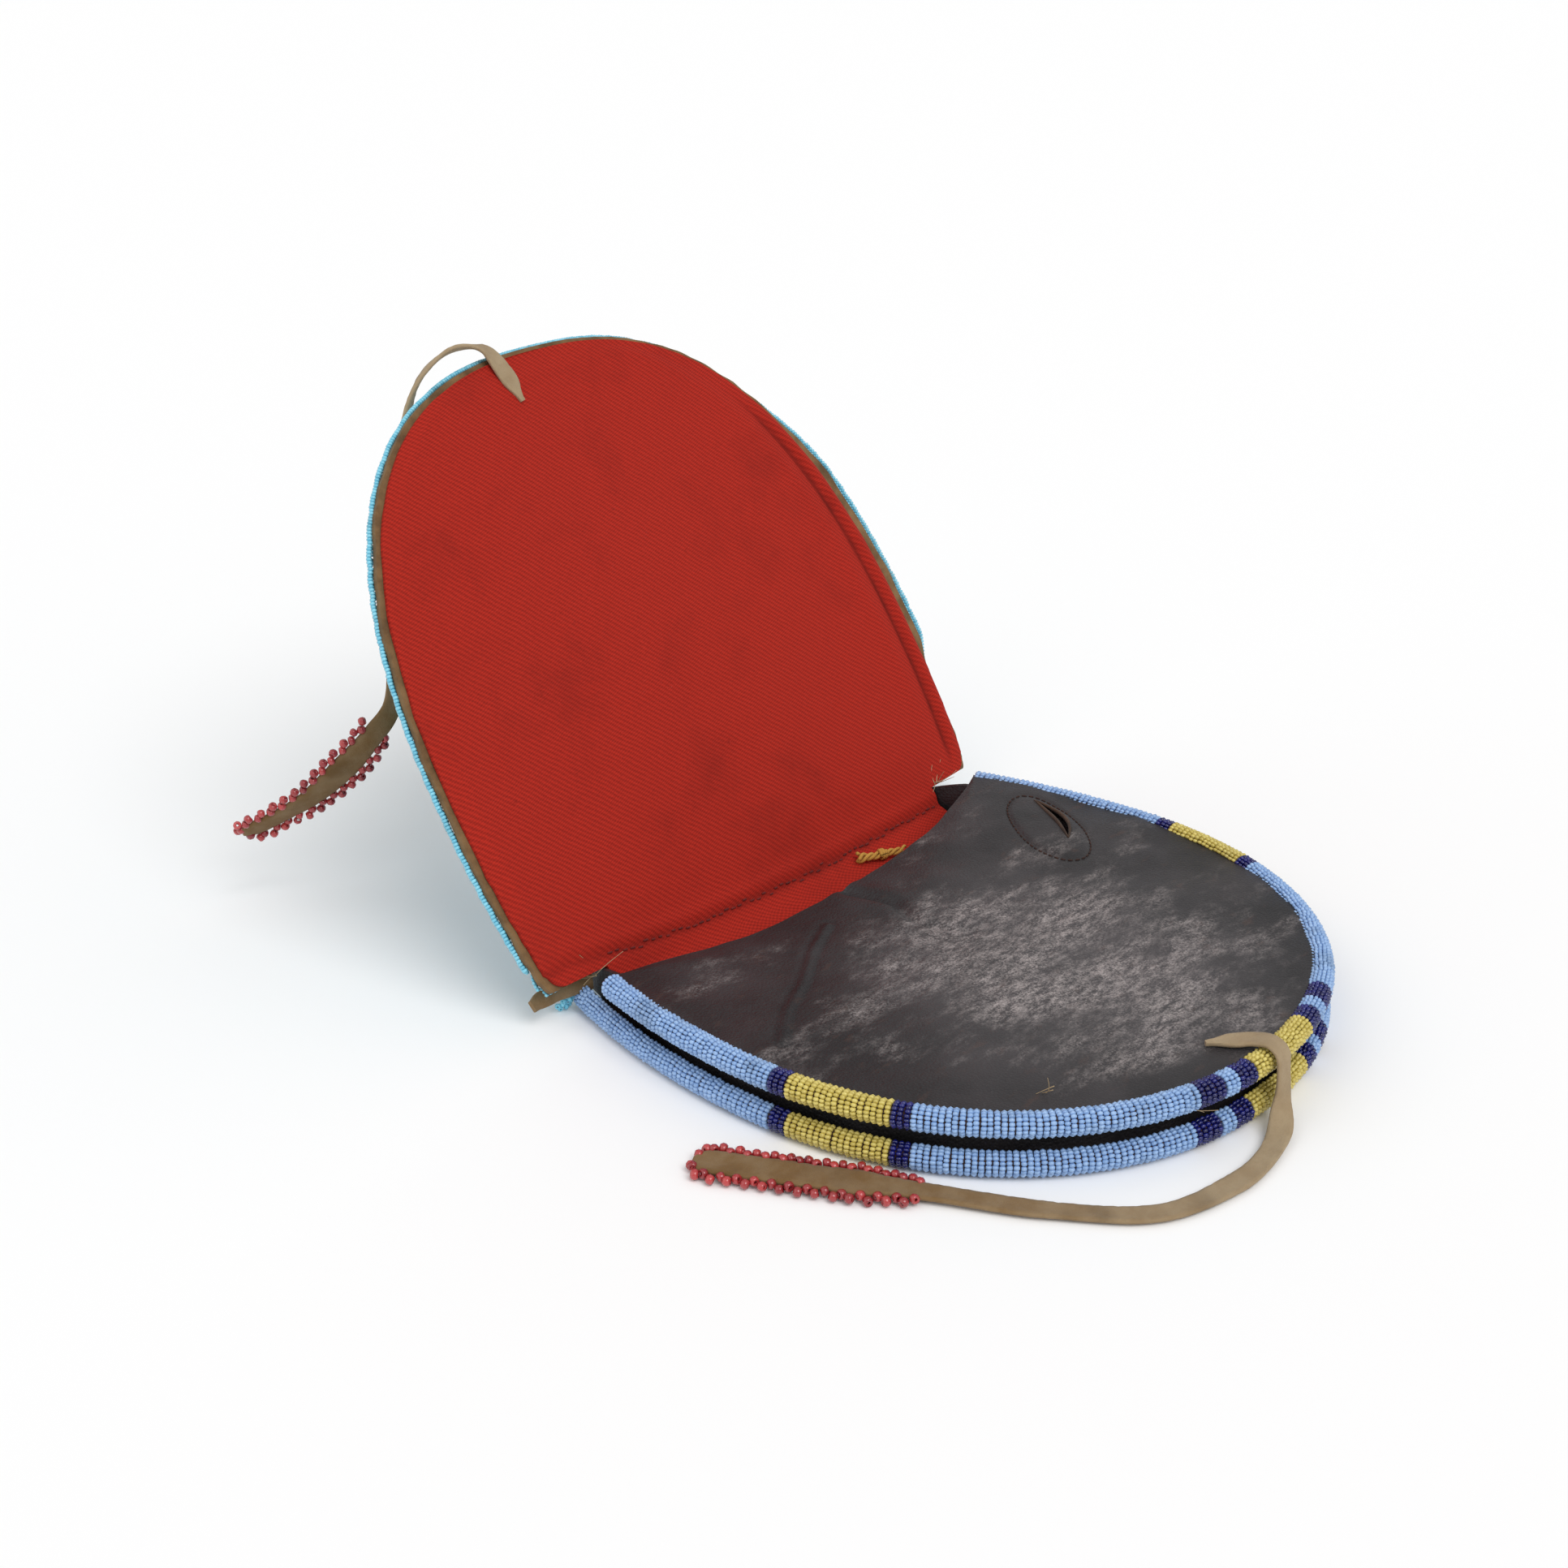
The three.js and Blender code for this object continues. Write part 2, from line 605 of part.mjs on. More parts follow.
// Flap thong, in the flap's axes: from its stub on the lining, over the tip, down behind to its tab.
const FLAP_THONG_ROUTE = [
  [-17, 173, 1.2, 1, -0.1, 0],
  [-19, 184, 1.3, 1, -0.1, 0],
  [-22.5, 193.6, 0.6, 0.9, 0.1, -0.4],
  [-31, 197.2, -3, 0.4, 0.1, -0.9],
  [-42, 194, -7.5, 0.1, 0, -1],
  [-51, 186, -11, 0.4, -0.3, -0.8],
  [-58, 168, -20.8, 0.9, -0.4, -0.2],
  [-64, 142.5, -36.7, 1, -0.3, 0],
  [-70, 120, -48.1, 1, -0.3, 0],
  [-76.7, 99, -58.5, 0.9, -0.4, 0.1],
  [-84.1, 93, -64.9, 0.7, -0.7, 0.2],
  [-92, 86.9, -79.8, 0.6, -0.8, 0],
  [-99.3, 83.2, -94.3, 0.5, -0.85, -0.2],
  [-106.2, 82.5, -106.8, 0.5, -0.85, -0.2],
  [-113.9, 82.6, -117.6, 0.5, -0.85, -0.2],
];

// Tie and beads at the near hinge corner, and the yarn left in the mouth.

// The corner pieces are placed from the near end of the back rim, the thong just below the flap.
const CORNER_THONG_ROUTE = [
  [3.5, 1.3, 0],
  [-5, 3.5, 0],
  [-13, 5, -0.4],
  [-19, 5.5, -0.4],
];
const CORNER_THONG_STEPS = 8;
const CORNER_BEAD_PLACES = [
  [-4.2, 8],
  [-6.9, 7.6],
  [-9.5, 8.2],
];
const YARN_ROUTE = [
  [32, -5.5, 0.4],
  [37, -9, 0],
  [43, -11.5, 0],
  [48, -15, 0.2],
];
const YARN_STEPS = 12;

function cornerThong() {
  const places = CORNER_THONG_ROUTE.map(([x, y, z]) =>
    RIM_CORNER.clone().add(new THREE.Vector3(x, y, CORNER_THONG_Z + z)),
  );
  const line = new THREE.CatmullRomCurve3(places);
  const section = stripSection(THONG, CORNER_THONG_WIDTH);
  const rings = line.getSpacedPoints(CORNER_THONG_STEPS).map((place, step) => {
    const along = line.getTangentAt(step / CORNER_THONG_STEPS);
    const across = Z_AXIS.clone().cross(along).normalize();
    return ringAt(place, across, Z_AXIS, section);
  });
  return piece("corner_thong", loft(rings, section), "thong");
}

function cornerBeads() {
  const beads = CORNER_BEAD_PLACES.map(([x, y]) => {
    const bead = new THREE.SphereGeometry(CORNER_BEAD_RADIUS, 10, 8);
    return toManifold(bead.translate(RIM_CORNER.x + x, RIM_CORNER.y + y, CORNER_BEAD_RADIUS + CLEARANCE));
  });
  const joined = beads.reduce((sum, bead) => sum.add(bead));
  return piece("corner_beads", fromManifold(joined), "turquoise");
}

// Two strands' thickness of yarn with one round knot in the middle.
function yarnKnot() {
  const rest = LINING_FACE_Z + CLEARANCE + YARN_KNOT_RADIUS;
  const places = YARN_ROUTE.map(([x, y, z]) => new THREE.Vector3(x, y, rest + z));
  const line = new THREE.CatmullRomCurve3(places);
  const rings = line.getSpacedPoints(YARN_STEPS).map((place, step) => {
    const middle = Math.sin((Math.PI * step) / YARN_STEPS) ** 4;
    const radius = THREE.MathUtils.lerp(YARN_RADIUS, YARN_KNOT_RADIUS, middle);
    const across = Z_AXIS.clone().cross(line.getTangentAt(step / YARN_STEPS)).normalize();
    return ringAt(place, across, Z_AXIS, circle(radius, 8));
  });
  return piece("yarn_knot", loft(rings, circle(YARN_RADIUS, 8)), "yarn");
}

function buildFlap() {
  const flap = new THREE.Group();
  const thong = new Thong(FLAP_THONG_ROUTE);
  flap.add(...flapLayers());
  flap.add(piece("flap_thong", thong.strip(), "thong"));
  flap.add(piece("flap_tab_beads", thong.edgeBeads(), "redBeads"));
  flap.position.set(0, HINGE_BACK, HINGE_Z);
  flap.rotation.x = TILT;
  return flap;
}

function buildPouch() {
  const pouch = new THREE.Group();
  const thong = new Thong(FRONT_THONG_ROUTE);
  pouch.add(backPanel(), frontPanel(), slitFacing(), gusset(), ...spine());
  pouch.add(...beadedRim("back_rim", BACK_RIM_END, BACK_RIM_Z, -1));
  pouch.add(...beadedRim("front_rim", FRONT_RIM_END, FRONT_RIM_Z, 1));
  pouch.add(piece("front_thong", thong.strip(), "thong"));
  pouch.add(piece("front_tab_beads", thong.edgeBeads(), "redBeads"));
  pouch.add(cornerThong(), cornerBeads(), yarnKnot());
  return pouch;
}

// Moves the whole so that the origin lies on the floor under the middle of all but the thongs.
function centred(group) {
  const box = new THREE.Box3();
  group.updateMatrixWorld(true);
  group.traverse((node) => {
    if (node.isMesh && !/thong|tab_beads/.test(node.name)) {
      box.expandByObject(node, true);
    }
  });
  const centre = box.getCenter(new THREE.Vector3());
  group.position.set(-centre.x, -centre.y, -box.min.z);
  return group;
}

const beltPouch = new THREE.Group();
beltPouch.name = "belt_pouch";
beltPouch.add(buildPouch(), buildFlap());

export default centred(beltPouch);
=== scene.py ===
"""Beaded belt pouch lying on its back with its flap open.

Sizes are in millimetres in the sewing frame, whose origin lies on the floor under the middle of the
hinge line. `placed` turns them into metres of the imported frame.
"""
import json
import logging
import math
from dataclasses import dataclass, field
from enum import Enum
from typing import Any, Callable, Sequence

import bmesh
import bpy
import numpy as np
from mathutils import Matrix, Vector


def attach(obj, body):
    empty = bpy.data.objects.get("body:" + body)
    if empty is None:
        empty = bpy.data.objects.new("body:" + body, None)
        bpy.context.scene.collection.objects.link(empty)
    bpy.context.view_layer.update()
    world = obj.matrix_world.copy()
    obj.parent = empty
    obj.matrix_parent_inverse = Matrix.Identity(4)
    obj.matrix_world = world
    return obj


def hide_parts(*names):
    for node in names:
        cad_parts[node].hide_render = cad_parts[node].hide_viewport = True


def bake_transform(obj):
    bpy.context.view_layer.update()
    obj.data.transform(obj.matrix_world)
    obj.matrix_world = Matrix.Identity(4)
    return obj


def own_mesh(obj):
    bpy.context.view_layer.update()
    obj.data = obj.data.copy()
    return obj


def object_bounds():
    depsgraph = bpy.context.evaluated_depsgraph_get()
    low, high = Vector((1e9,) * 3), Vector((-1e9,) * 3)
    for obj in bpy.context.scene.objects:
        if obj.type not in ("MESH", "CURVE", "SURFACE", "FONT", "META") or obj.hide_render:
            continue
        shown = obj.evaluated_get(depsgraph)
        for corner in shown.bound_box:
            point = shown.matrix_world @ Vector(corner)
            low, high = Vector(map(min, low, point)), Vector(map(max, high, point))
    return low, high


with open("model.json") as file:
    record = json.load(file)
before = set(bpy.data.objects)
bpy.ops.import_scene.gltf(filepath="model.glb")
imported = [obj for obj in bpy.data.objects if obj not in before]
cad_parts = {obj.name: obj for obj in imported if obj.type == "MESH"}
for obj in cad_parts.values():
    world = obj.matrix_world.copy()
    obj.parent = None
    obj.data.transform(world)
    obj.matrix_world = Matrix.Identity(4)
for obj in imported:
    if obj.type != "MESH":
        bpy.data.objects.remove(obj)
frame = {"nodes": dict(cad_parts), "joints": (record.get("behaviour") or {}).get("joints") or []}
CAD_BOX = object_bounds()

LOG = logging.getLogger("belt_pouch")
MM = 0.001
POUCH_BODY = "pouch"
FLAP_BODY = "flap"
HINGE = "flap_hinge"
HINGE_BACK = 7.35
HINGE_Z = 21.9
TILT = math.radians(56.2)
UP_FLAP = np.array([0.0, math.cos(TILT), math.sin(TILT)])
FLAP_FACE = np.array([0.0, -math.sin(TILT), math.cos(TILT)])
UP = np.array([0.0, 0.0, 1.0])
PIVOT = np.array(next(j for j in frame["joints"] if j["name"] == HINGE)["pos_m"])
ORIGIN = PIVOT - MM * np.array([0.0, HINGE_BACK, HINGE_Z])

Colour = tuple[float, float, float, float]
Faces = list[np.ndarray]


def placed(points: Any) -> np.ndarray:
    """Turns sewing-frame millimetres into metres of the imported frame.

    Args:
        points: One point or an array of points.

    Returns:
        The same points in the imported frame.
    """
    return ORIGIN + MM * np.asarray(points, dtype=float)


def on_flap(across: Any, up: Any, out: Any) -> np.ndarray:
    """Gives points of the flap's own axes in the sewing frame.

    Args:
        across: Place along the hinge.
        up: Distance up the flap from the hinge.
        out: Height out of the lining's face.

    Returns:
        An array of points whose last axis is x, y, z.
    """
    across, up, out = np.broadcast_arrays(*(np.asarray(v, dtype=float) for v in (across, up, out)))
    base = np.array([0.0, HINGE_BACK, HINGE_Z])
    return (
        base
        + across[..., None] * np.array([1.0, 0.0, 0.0])
        + up[..., None] * UP_FLAP
        + out[..., None] * FLAP_FACE
    )


def srgb(red: int, green: int, blue: int) -> Colour:
    """Turns a display colour of 0 to 255 into the linear colour that a shader takes.

    Args:
        red: Red share.
        green: Green share.
        blue: Blue share.

    Returns:
        The linear colour with full alpha.
    """
    def linear(share: int) -> float:
        """Undoes the display curve of one share."""
        value = share / 255
        return value / 12.92 if value <= 0.04045 else ((value + 0.055) / 1.055) ** 2.4

    return (linear(red), linear(green), linear(blue), 1.0)


def unit(vectors: np.ndarray) -> np.ndarray:
    """Scales vectors to length one."""
    return vectors / np.maximum(np.linalg.norm(vectors, axis=-1, keepdims=True), 1e-12)


def smooth(value: Any, low: float, high: float) -> np.ndarray:
    """Rises smoothly from 0 at low to 1 at high."""
    share = np.clip((np.asarray(value, dtype=float) - low) / (high - low), 0.0, 1.0)
    return share * share * (3 - 2 * share)


def bell(distance: Any, width: float) -> np.ndarray:
    """Gives a rounded hump of height 1 round a distance of 0."""
    return np.exp(-((np.asarray(distance) / width) ** 2))


def to_line(points: np.ndarray, line: Sequence[Sequence[float]]) -> np.ndarray:
    """Measures how far flat points are from an open line.

    Args:
        points: Points whose first two numbers are used.
        line: Corners of the line.

    Returns:
        The distance of each point.
    """
    best = np.full(points.shape[:-1], np.inf)
    for start, end in zip(np.asarray(line)[:-1], np.asarray(line)[1:]):
        along = end - start
        share = np.clip(((points[..., :2] - start) @ along) / (along @ along), 0.0, 1.0)
        gap = points[..., :2] - start - share[..., None] * along
        best = np.minimum(best, np.linalg.norm(gap, axis=-1))
    return best


def spaced(line: np.ndarray, places: np.ndarray) -> np.ndarray:
    """Gives the points of a polyline at stated distances along it.

    Args:
        line: Points of the polyline.
        places: Distances from its start.

    Returns:
        One point for each distance.
    """
    steps = np.linalg.norm(np.diff(line, axis=0), axis=1)
    run = np.concatenate([[0.0], np.cumsum(steps)])
    return np.stack([np.interp(places, run, line[:, axis]) for axis in range(line.shape[1])], axis=1)


def run_length(line: np.ndarray) -> float:
    """Measures a polyline."""
    return float(np.linalg.norm(np.diff(line, axis=0), axis=1).sum())


def tangents(line: np.ndarray) -> np.ndarray:
    """Gives the unit direction of a polyline at each of its points."""
    return unit(np.gradient(line, axis=0))


def catmull(points: np.ndarray, per_span: int = 24) -> np.ndarray:
    """Runs a centripetal spline through points.

    Args:
        points: Points that the curve passes through.
        per_span: Samples between two points.

    Returns:
        The sampled curve.
    """
    ends = np.vstack([2 * points[0] - points[1], points, 2 * points[-1] - points[-2]])
    share = np.linspace(0.0, 1.0, per_span, endpoint=False)[:, None]
    curve = []
    for a, b, c, d in zip(ends, ends[1:], ends[2:], ends[3:]):
        gaps = [max(np.linalg.norm(q[:3] - p[:3]) ** 0.5, 1e-4) for p, q in ((a, b), (b, c), (c, d))]
        first = (b - a) / gaps[0] - (c - a) / (gaps[0] + gaps[1]) + (c - b) / gaps[1]
        last = (c - b) / gaps[1] - (d - b) / (gaps[1] + gaps[2]) + (d - c) / gaps[2]
        first, last = first * gaps[1], last * gaps[1]
        square, cube = share**2, share**3
        curve.append(
            b + first * share
            + (3 * (c - b) - 2 * first - last) * square
            + (2 * (b - c) + first + last) * cube
        )
    return np.vstack([*curve, points[-1:]])


# Meshes


def mesh_object(name: str, points: np.ndarray, faces: Faces, sharp: float | None = None) -> bpy.types.Object:
    """Makes a smooth-shaded object from points and sets of faces.

    Args:
        name: Name of the piece.
        points: Points in the sewing frame.
        faces: Arrays of corner numbers, one array for each number of corners.
        sharp: Angle in degrees over which an edge stays sharp.

    Returns:
        The object, linked to the scene.
    """
    mesh = bpy.data.meshes.new(name)
    corners = np.concatenate([part.ravel() for part in faces]).astype(np.int32)
    sizes = np.concatenate([np.full(len(part), part.shape[1]) for part in faces])
    starts = np.concatenate([[0], np.cumsum(sizes)[:-1]]).astype(np.int32)
    mesh.vertices.add(len(points))
    mesh.vertices.foreach_set("co", placed(points).astype(np.float32).ravel())
    mesh.loops.add(len(corners))
    mesh.loops.foreach_set("vertex_index", corners)
    mesh.polygons.add(len(sizes))
    mesh.polygons.foreach_set("loop_start", starts)
    mesh.update(calc_edges=True)
    mesh.validate()
    mesh.shade_smooth()
    if sharp is not None:
        mesh.set_sharp_from_angle(angle=math.radians(sharp))
    thing = bpy.data.objects.new(name, mesh)
    bpy.context.scene.collection.objects.link(thing)
    return thing


def outward(thing: bpy.types.Object) -> bpy.types.Object:
    """Turns the faces of a closed mesh outwards."""
    work = bmesh.new()
    work.from_mesh(thing.data)
    bmesh.ops.recalc_face_normals(work, faces=work.faces)
    work.to_mesh(thing.data)
    work.free()
    return thing


def shell(top: np.ndarray, bottom: np.ndarray) -> tuple[np.ndarray, Faces]:
    """Closes two matching grids of points into a thin solid.

    Args:
        top: Points of the upper face, rows by columns by 3.
        bottom: Points of the lower face in the same order.

    Returns:
        The points and the faces.
    """
    rows, columns = top.shape[:2]
    number = np.arange(rows * columns).reshape(rows, columns)
    cells = np.stack(
        [number[:-1, :-1], number[:-1, 1:], number[1:, 1:], number[1:, :-1]], axis=-1
    ).reshape(-1, 4)
    rim = np.concatenate([number[0, :-1], number[:-1, -1], number[-1, :0:-1], number[:0:-1, 0]])
    after = np.roll(rim, -1)
    under = rows * columns
    walls = np.stack([rim, rim + under, after + under, after], axis=-1)
    faces = np.vstack([cells, cells[:, ::-1] + under, walls])
    return np.vstack([top.reshape(-1, 3), bottom.reshape(-1, 3)]), [faces]


def loft(rings: np.ndarray) -> tuple[np.ndarray, Faces]:
    """Skins closed rings of points and caps both ends.

    Args:
        rings: Rings by points by 3.

    Returns:
        The points and the faces.
    """
    count, sides = rings.shape[:2]
    number = np.arange(count * sides).reshape(count, sides)
    beside = np.roll(number, -1, axis=1)
    skin = np.stack([number[:-1], beside[:-1], beside[1:], number[1:]], axis=-1).reshape(-1, 4)
    caps = np.stack([number[0, ::-1], number[-1]])
    return rings.reshape(-1, 3), [skin, caps]


def joined(parts: Sequence[tuple[np.ndarray, Faces]]) -> tuple[np.ndarray, Faces]:
    """Puts several sets of points and faces into one.

    Args:
        parts: Points and faces of each part.

    Returns:
        All points and all faces.
    """
    points, faces, shift = [], [], 0
    for own, sets in parts:
        points.append(own)
        faces.extend(part + shift for part in sets)
        shift += len(own)
    by_size: dict[int, list[np.ndarray]] = {}
    for part in faces:
        by_size.setdefault(part.shape[1], []).append(part)
    return np.vstack(points), [np.vstack(same) for same in by_size.values()]


def tube(line: np.ndarray, radius: Any, sides: int = 6) -> tuple[np.ndarray, Faces]:
    """Sweeps a round section along a line.

    Args:
        line: Points of the centre line.
        radius: One radius, or one for each point.
        sides: Corners of the section.

    Returns:
        The points and the faces.
    """
    along = tangents(line)
    hint = np.where(np.abs(along[:, 2:3]) > 0.9, np.array([[1.0, 0, 0]]), UP[None])
    side = unit(np.cross(along, hint))
    other = np.cross(along, side)
    turn = np.arange(sides) * 2 * math.pi / sides
    reach = np.broadcast_to(np.asarray(radius, dtype=float), len(line))[:, None, None]
    ring = np.cos(turn)[None, :, None] * side[:, None] + np.sin(turn)[None, :, None] * other[:, None]
    return loft(line[:, None] + reach * ring)


@dataclass(frozen=True)
class BeadShape:
    """One glass bead as a low mesh: z runs along its hole, x points out of the work."""

    sides: int = 6
    profile: tuple[tuple[float, float], ...] = ((0.55, -0.5), (1.0, -0.27), (1.0, 0.27), (0.55, 0.5))
    sweep: float = 360.0
    holed: bool = False

    def mesh(self) -> tuple[np.ndarray, Faces]:
        """Builds the bead at radius 1 and length 1.

        Returns:
            The points and triangles.
        """
        whole = self.sweep >= 360
        spread = np.linspace(0, self.sweep, self.sides + (0 if whole else 1), endpoint=not whole)
        turn = np.radians(spread - (0 if whole else self.sweep / 2))
        rings = np.array(
            [[(r * math.cos(a), r * math.sin(a), z) for a in turn] for r, z in self.profile]
        )
        if self.holed:
            rings = np.concatenate([rings, rings[:1]])
            points, faces = loft(rings)
            return points, self._triangles(faces[:1])
        points, faces = loft(rings)
        return points, self._triangles(faces)

    @staticmethod
    def _triangles(faces: Faces) -> Faces:
        """Splits faces into triangles as fans."""
        flat = [
            np.stack([part[:, 0], part[:, place], part[:, place + 1]], axis=-1)
            for part in faces
            for place in range(1, part.shape[1] - 1)
        ]
        return [np.vstack(flat)]


STITCH = BeadShape(6, ((0.3, -0.5), (0.9, -0.36), (1.0, 0.0), (0.9, 0.36), (0.3, 0.5)))
LANE_BEAD = BeadShape(3, ((0.6, -0.5), (1.0, 0.0), (0.6, 0.5)), 180.0)
TAB_BEAD = BeadShape(
    9, ((0.34, -0.36), (0.72, -0.5), (1.0, -0.2), (1.0, 0.2), (0.72, 0.5), (0.34, 0.36)), holed=True
)
CLUSTER_BEAD = BeadShape(
    10, ((0.35, -0.4), (0.75, -0.5), (1.0, -0.22), (1.0, 0.22), (0.75, 0.5), (0.35, 0.4)), holed=True
)


def string_beads(
    shape: BeadShape, centres: np.ndarray, along: np.ndarray, out: np.ndarray, radius: Any, length: Any
) -> tuple[np.ndarray, Faces]:
    """Copies one bead to many places.

    Args:
        shape: The bead.
        centres: Middle of each bead.
        along: Direction of each bead's hole.
        out: Direction out of the work.
        radius: Radius of the beads, one or one for each.
        length: Length of the beads, one or one for each.

    Returns:
        The points and triangles of all beads.
    """
    points, faces = shape.mesh()
    along = unit(along)
    out = unit(out - (out * along).sum(-1, keepdims=True) * along)
    side = np.cross(along, out)
    count = len(centres)
    wide = np.broadcast_to(np.asarray(radius, dtype=float), count)[:, None, None]
    long = np.broadcast_to(np.asarray(length, dtype=float), count)[:, None, None]
    copies = (
        centres[:, None]
        + wide * (points[None, :, :1] * out[:, None] + points[None, :, 1:2] * side[:, None])
        + long * points[None, :, 2:] * along[:, None]
    )
    shift = (np.arange(count) * len(points))[:, None, None]
    return copies.reshape(-1, 3), [(faces[0][None] + shift).reshape(-1, 3)]


# Shaders


class Value:
    """One output of a shader node, with arithmetic that adds Math nodes."""

    def __init__(self, paint: "Paint", socket: bpy.types.NodeSocket) -> None:
        """Keeps the tree and the socket."""
        self.paint = paint
        self.socket = socket

    def __add__(self, other: Any) -> "Value":
        """Adds."""
        return self.paint.math("ADD", self, other)

    def __radd__(self, other: Any) -> "Value":
        """Adds, from the right."""
        return self.paint.math("ADD", other, self)

    def __sub__(self, other: Any) -> "Value":
        """Subtracts."""
        return self.paint.math("SUBTRACT", self, other)

    def __rsub__(self, other: Any) -> "Value":
        """Subtracts, from the right."""
        return self.paint.math("SUBTRACT", other, self)

    def __mul__(self, other: Any) -> "Value":
        """Multiplies."""
        return self.paint.math("MULTIPLY", self, other)

    def __rmul__(self, other: Any) -> "Value":
        """Multiplies, from the right."""
        return self.paint.math("MULTIPLY", other, self)

    def __truediv__(self, other: Any) -> "Value":
        """Divides."""
        return self.paint.math("DIVIDE", self, other)

    def __pow__(self, other: Any) -> "Value":
        """Raises to a power."""
        return self.paint.math("POWER", self, other)

    def between(self, low: float, high: float) -> "Value":
        """Rises smoothly from 0 at low to 1 at high."""
        settings = {"interpolation_type": "SMOOTHSTEP"}
        return self.paint.node("ShaderNodeMapRange", settings, {0: self, 1: low, 2: high})

    def wave(self) -> "Value":
        """Takes the sine."""
        return self.paint.node("ShaderNodeMath", {"operation": "SINE"}, {0: self})


class Paint:
    """A material's node tree."""

    def __init__(self, name: str) -> None:
        """Makes the material with its shader.

        Args:
            name: Name of the material.
        """
        self.material = bpy.data.materials.new(name)
        self.material.use_nodes = True
        self.tree = self.material.node_tree
        self.shader = self.tree.nodes["Principled BSDF"]

    def node(
        self,
        kind: str,
        settings: dict[str, Any] | None = None,
        inputs: dict[Any, Any] | None = None,
        output: Any = 0,
    ) -> Value:
        """Adds one node.

        Args:
            kind: Type of the node.
            settings: Its settings, set first; "stops" fills a ramp.
            inputs: Values or links of its sockets.
            output: Output that is returned.

        Returns:
            The output.
        """
        made = self.tree.nodes.new(kind)
        for key, value in (settings or {}).items():
            if key == "stops":
                self._stops(made, value)
            else:
                setattr(made, key, value)
        for key, value in (inputs or {}).items():
            self.feed(made.inputs[key], value)
        return Value(self, made.outputs[output])

    @staticmethod
    def _stops(ramp: bpy.types.Node, stops: Sequence[tuple[float, Colour]]) -> None:
        """Fills a ramp with its stops."""
        elements = ramp.color_ramp.elements
        while len(elements) < len(stops):
            elements.new(0.5)
        for element, (place, colour) in zip(elements, stops):
            element.position = place
            element.color = colour

    def feed(self, socket: bpy.types.NodeSocket, value: Any) -> None:
        """Links a value to a socket, or sets it there."""
        if isinstance(value, Value):
            self.tree.links.new(value.socket, socket)
        else:
            socket.default_value = value

    def math(self, operation: str, left: Any, right: Any) -> Value:
        """Adds a Math node of two values."""
        return self.node("ShaderNodeMath", {"operation": operation}, {0: left, 1: right})

    def place(self) -> Value:
        """Gives the place on the piece, in metres of the frame."""
        return self.node("ShaderNodeTexCoord", output="Object")

    def stretched(self, vector: Value, scale: Sequence[float], turn: Sequence[float] = (0, 0, 0)) -> Value:
        """Turns and scales a place."""
        inputs = {"Vector": vector, "Scale": tuple(scale), "Rotation": tuple(turn)}
        return self.node("ShaderNodeMapping", None, inputs)

    def dot(self, vector: Value, direction: Sequence[float]) -> Value:
        """Measures a place along a direction."""
        inputs = {0: vector, 1: tuple(direction)}
        return self.node("ShaderNodeVectorMath", {"operation": "DOT_PRODUCT"}, inputs, "Value")

    def noise(self, vector: Value, scale: float, detail: float = 2.0, rough: float = 0.5) -> Value:
        """Gives cloudy noise.

        Args:
            vector: Place on the piece.
            scale: Clouds in one metre.
            detail: Octaves of finer clouds.
            rough: Share of the finer clouds.

        Returns:
            The noise, from 0 to 1.
        """
        inputs = {"Vector": vector, "Scale": scale, "Detail": detail, "Roughness": rough}
        return self.node("ShaderNodeTexNoise", None, inputs)

    def cells(self, vector: Value, scale: float, feature: str = "F1") -> Value:
        """Gives the distance to the nearest of scattered points."""
        inputs = {"Vector": vector, "Scale": scale}
        return self.node("ShaderNodeTexVoronoi", {"feature": feature}, inputs, "Distance")

    def mix(self, factor: Any, first: Any, second: Any, blend: str = "MIX") -> Value:
        """Mixes two colours."""
        settings = {"data_type": "RGBA", "blend_type": blend}
        return self.node("ShaderNodeMix", settings, {0: factor, 6: first, 7: second}, 2)

    def random_bead(self) -> Value:
        """Gives one random number for each loose part."""
        return self.node("ShaderNodeNewGeometry", output="Random Per Island")

    def bump(self, height: Value, distance: float, strength: float = 1.0) -> None:
        """Feeds a height in metres of relief to the shader's Normal."""
        inputs = {"Height": height, "Distance": distance, "Strength": strength}
        self.finish({"Normal": self.node("ShaderNodeBump", None, inputs)})

    def finish(self, sockets: dict[str, Any]) -> bpy.types.Material:
        """Sets or links sockets of the shader.

        Args:
            sockets: Values or links by socket name.

        Returns:
            The material.
        """
        for key, value in sockets.items():
            self.feed(self.shader.inputs[key], value)
        return self.material


class Slot(Enum):
    """Material slots of the record."""

    LEATHER = "black_leather"
    WOOL = "red_wool"
    BUCKSKIN = "buckskin"
    THONG = "thong_hide"
    BLUE = "blue_beads"
    NAVY = "navy_beads"
    YELLOW = "yellow_beads"
    TURQUOISE = "turquoise_beads"
    RED = "red_beads"
    YARN = "mustard_yarn"


@dataclass(frozen=True)
class GlassBeads:
    """Opaque or clear seed beads; each bead has its own shade."""

    name: str
    deep: Colour
    light: Colour
    roughness: float = 0.26
    coat: float = 0.25

    def material(self) -> bpy.types.Material:
        """Paints the beads.

        Returns:
            The material.
        """
        paint = Paint(self.name)
        place = paint.place()
        own = paint.random_bead()
        clouds = paint.noise(place, 900.0, 2.0)
        shade = paint.mix(own * 0.75 + clouds * 0.25, self.deep, self.light)
        grime = paint.noise(place, 70.0, 3.0).between(0.52, 0.78) * 0.3
        colour = paint.mix(grime, shade, srgb(96, 88, 74), "MULTIPLY")
        return paint.finish({
            "Base Color": colour,
            "Roughness": self.roughness + own * 0.12 + grime * 0.4,
            "Coat Weight": self.coat,
            "Coat Roughness": 0.12,
        })


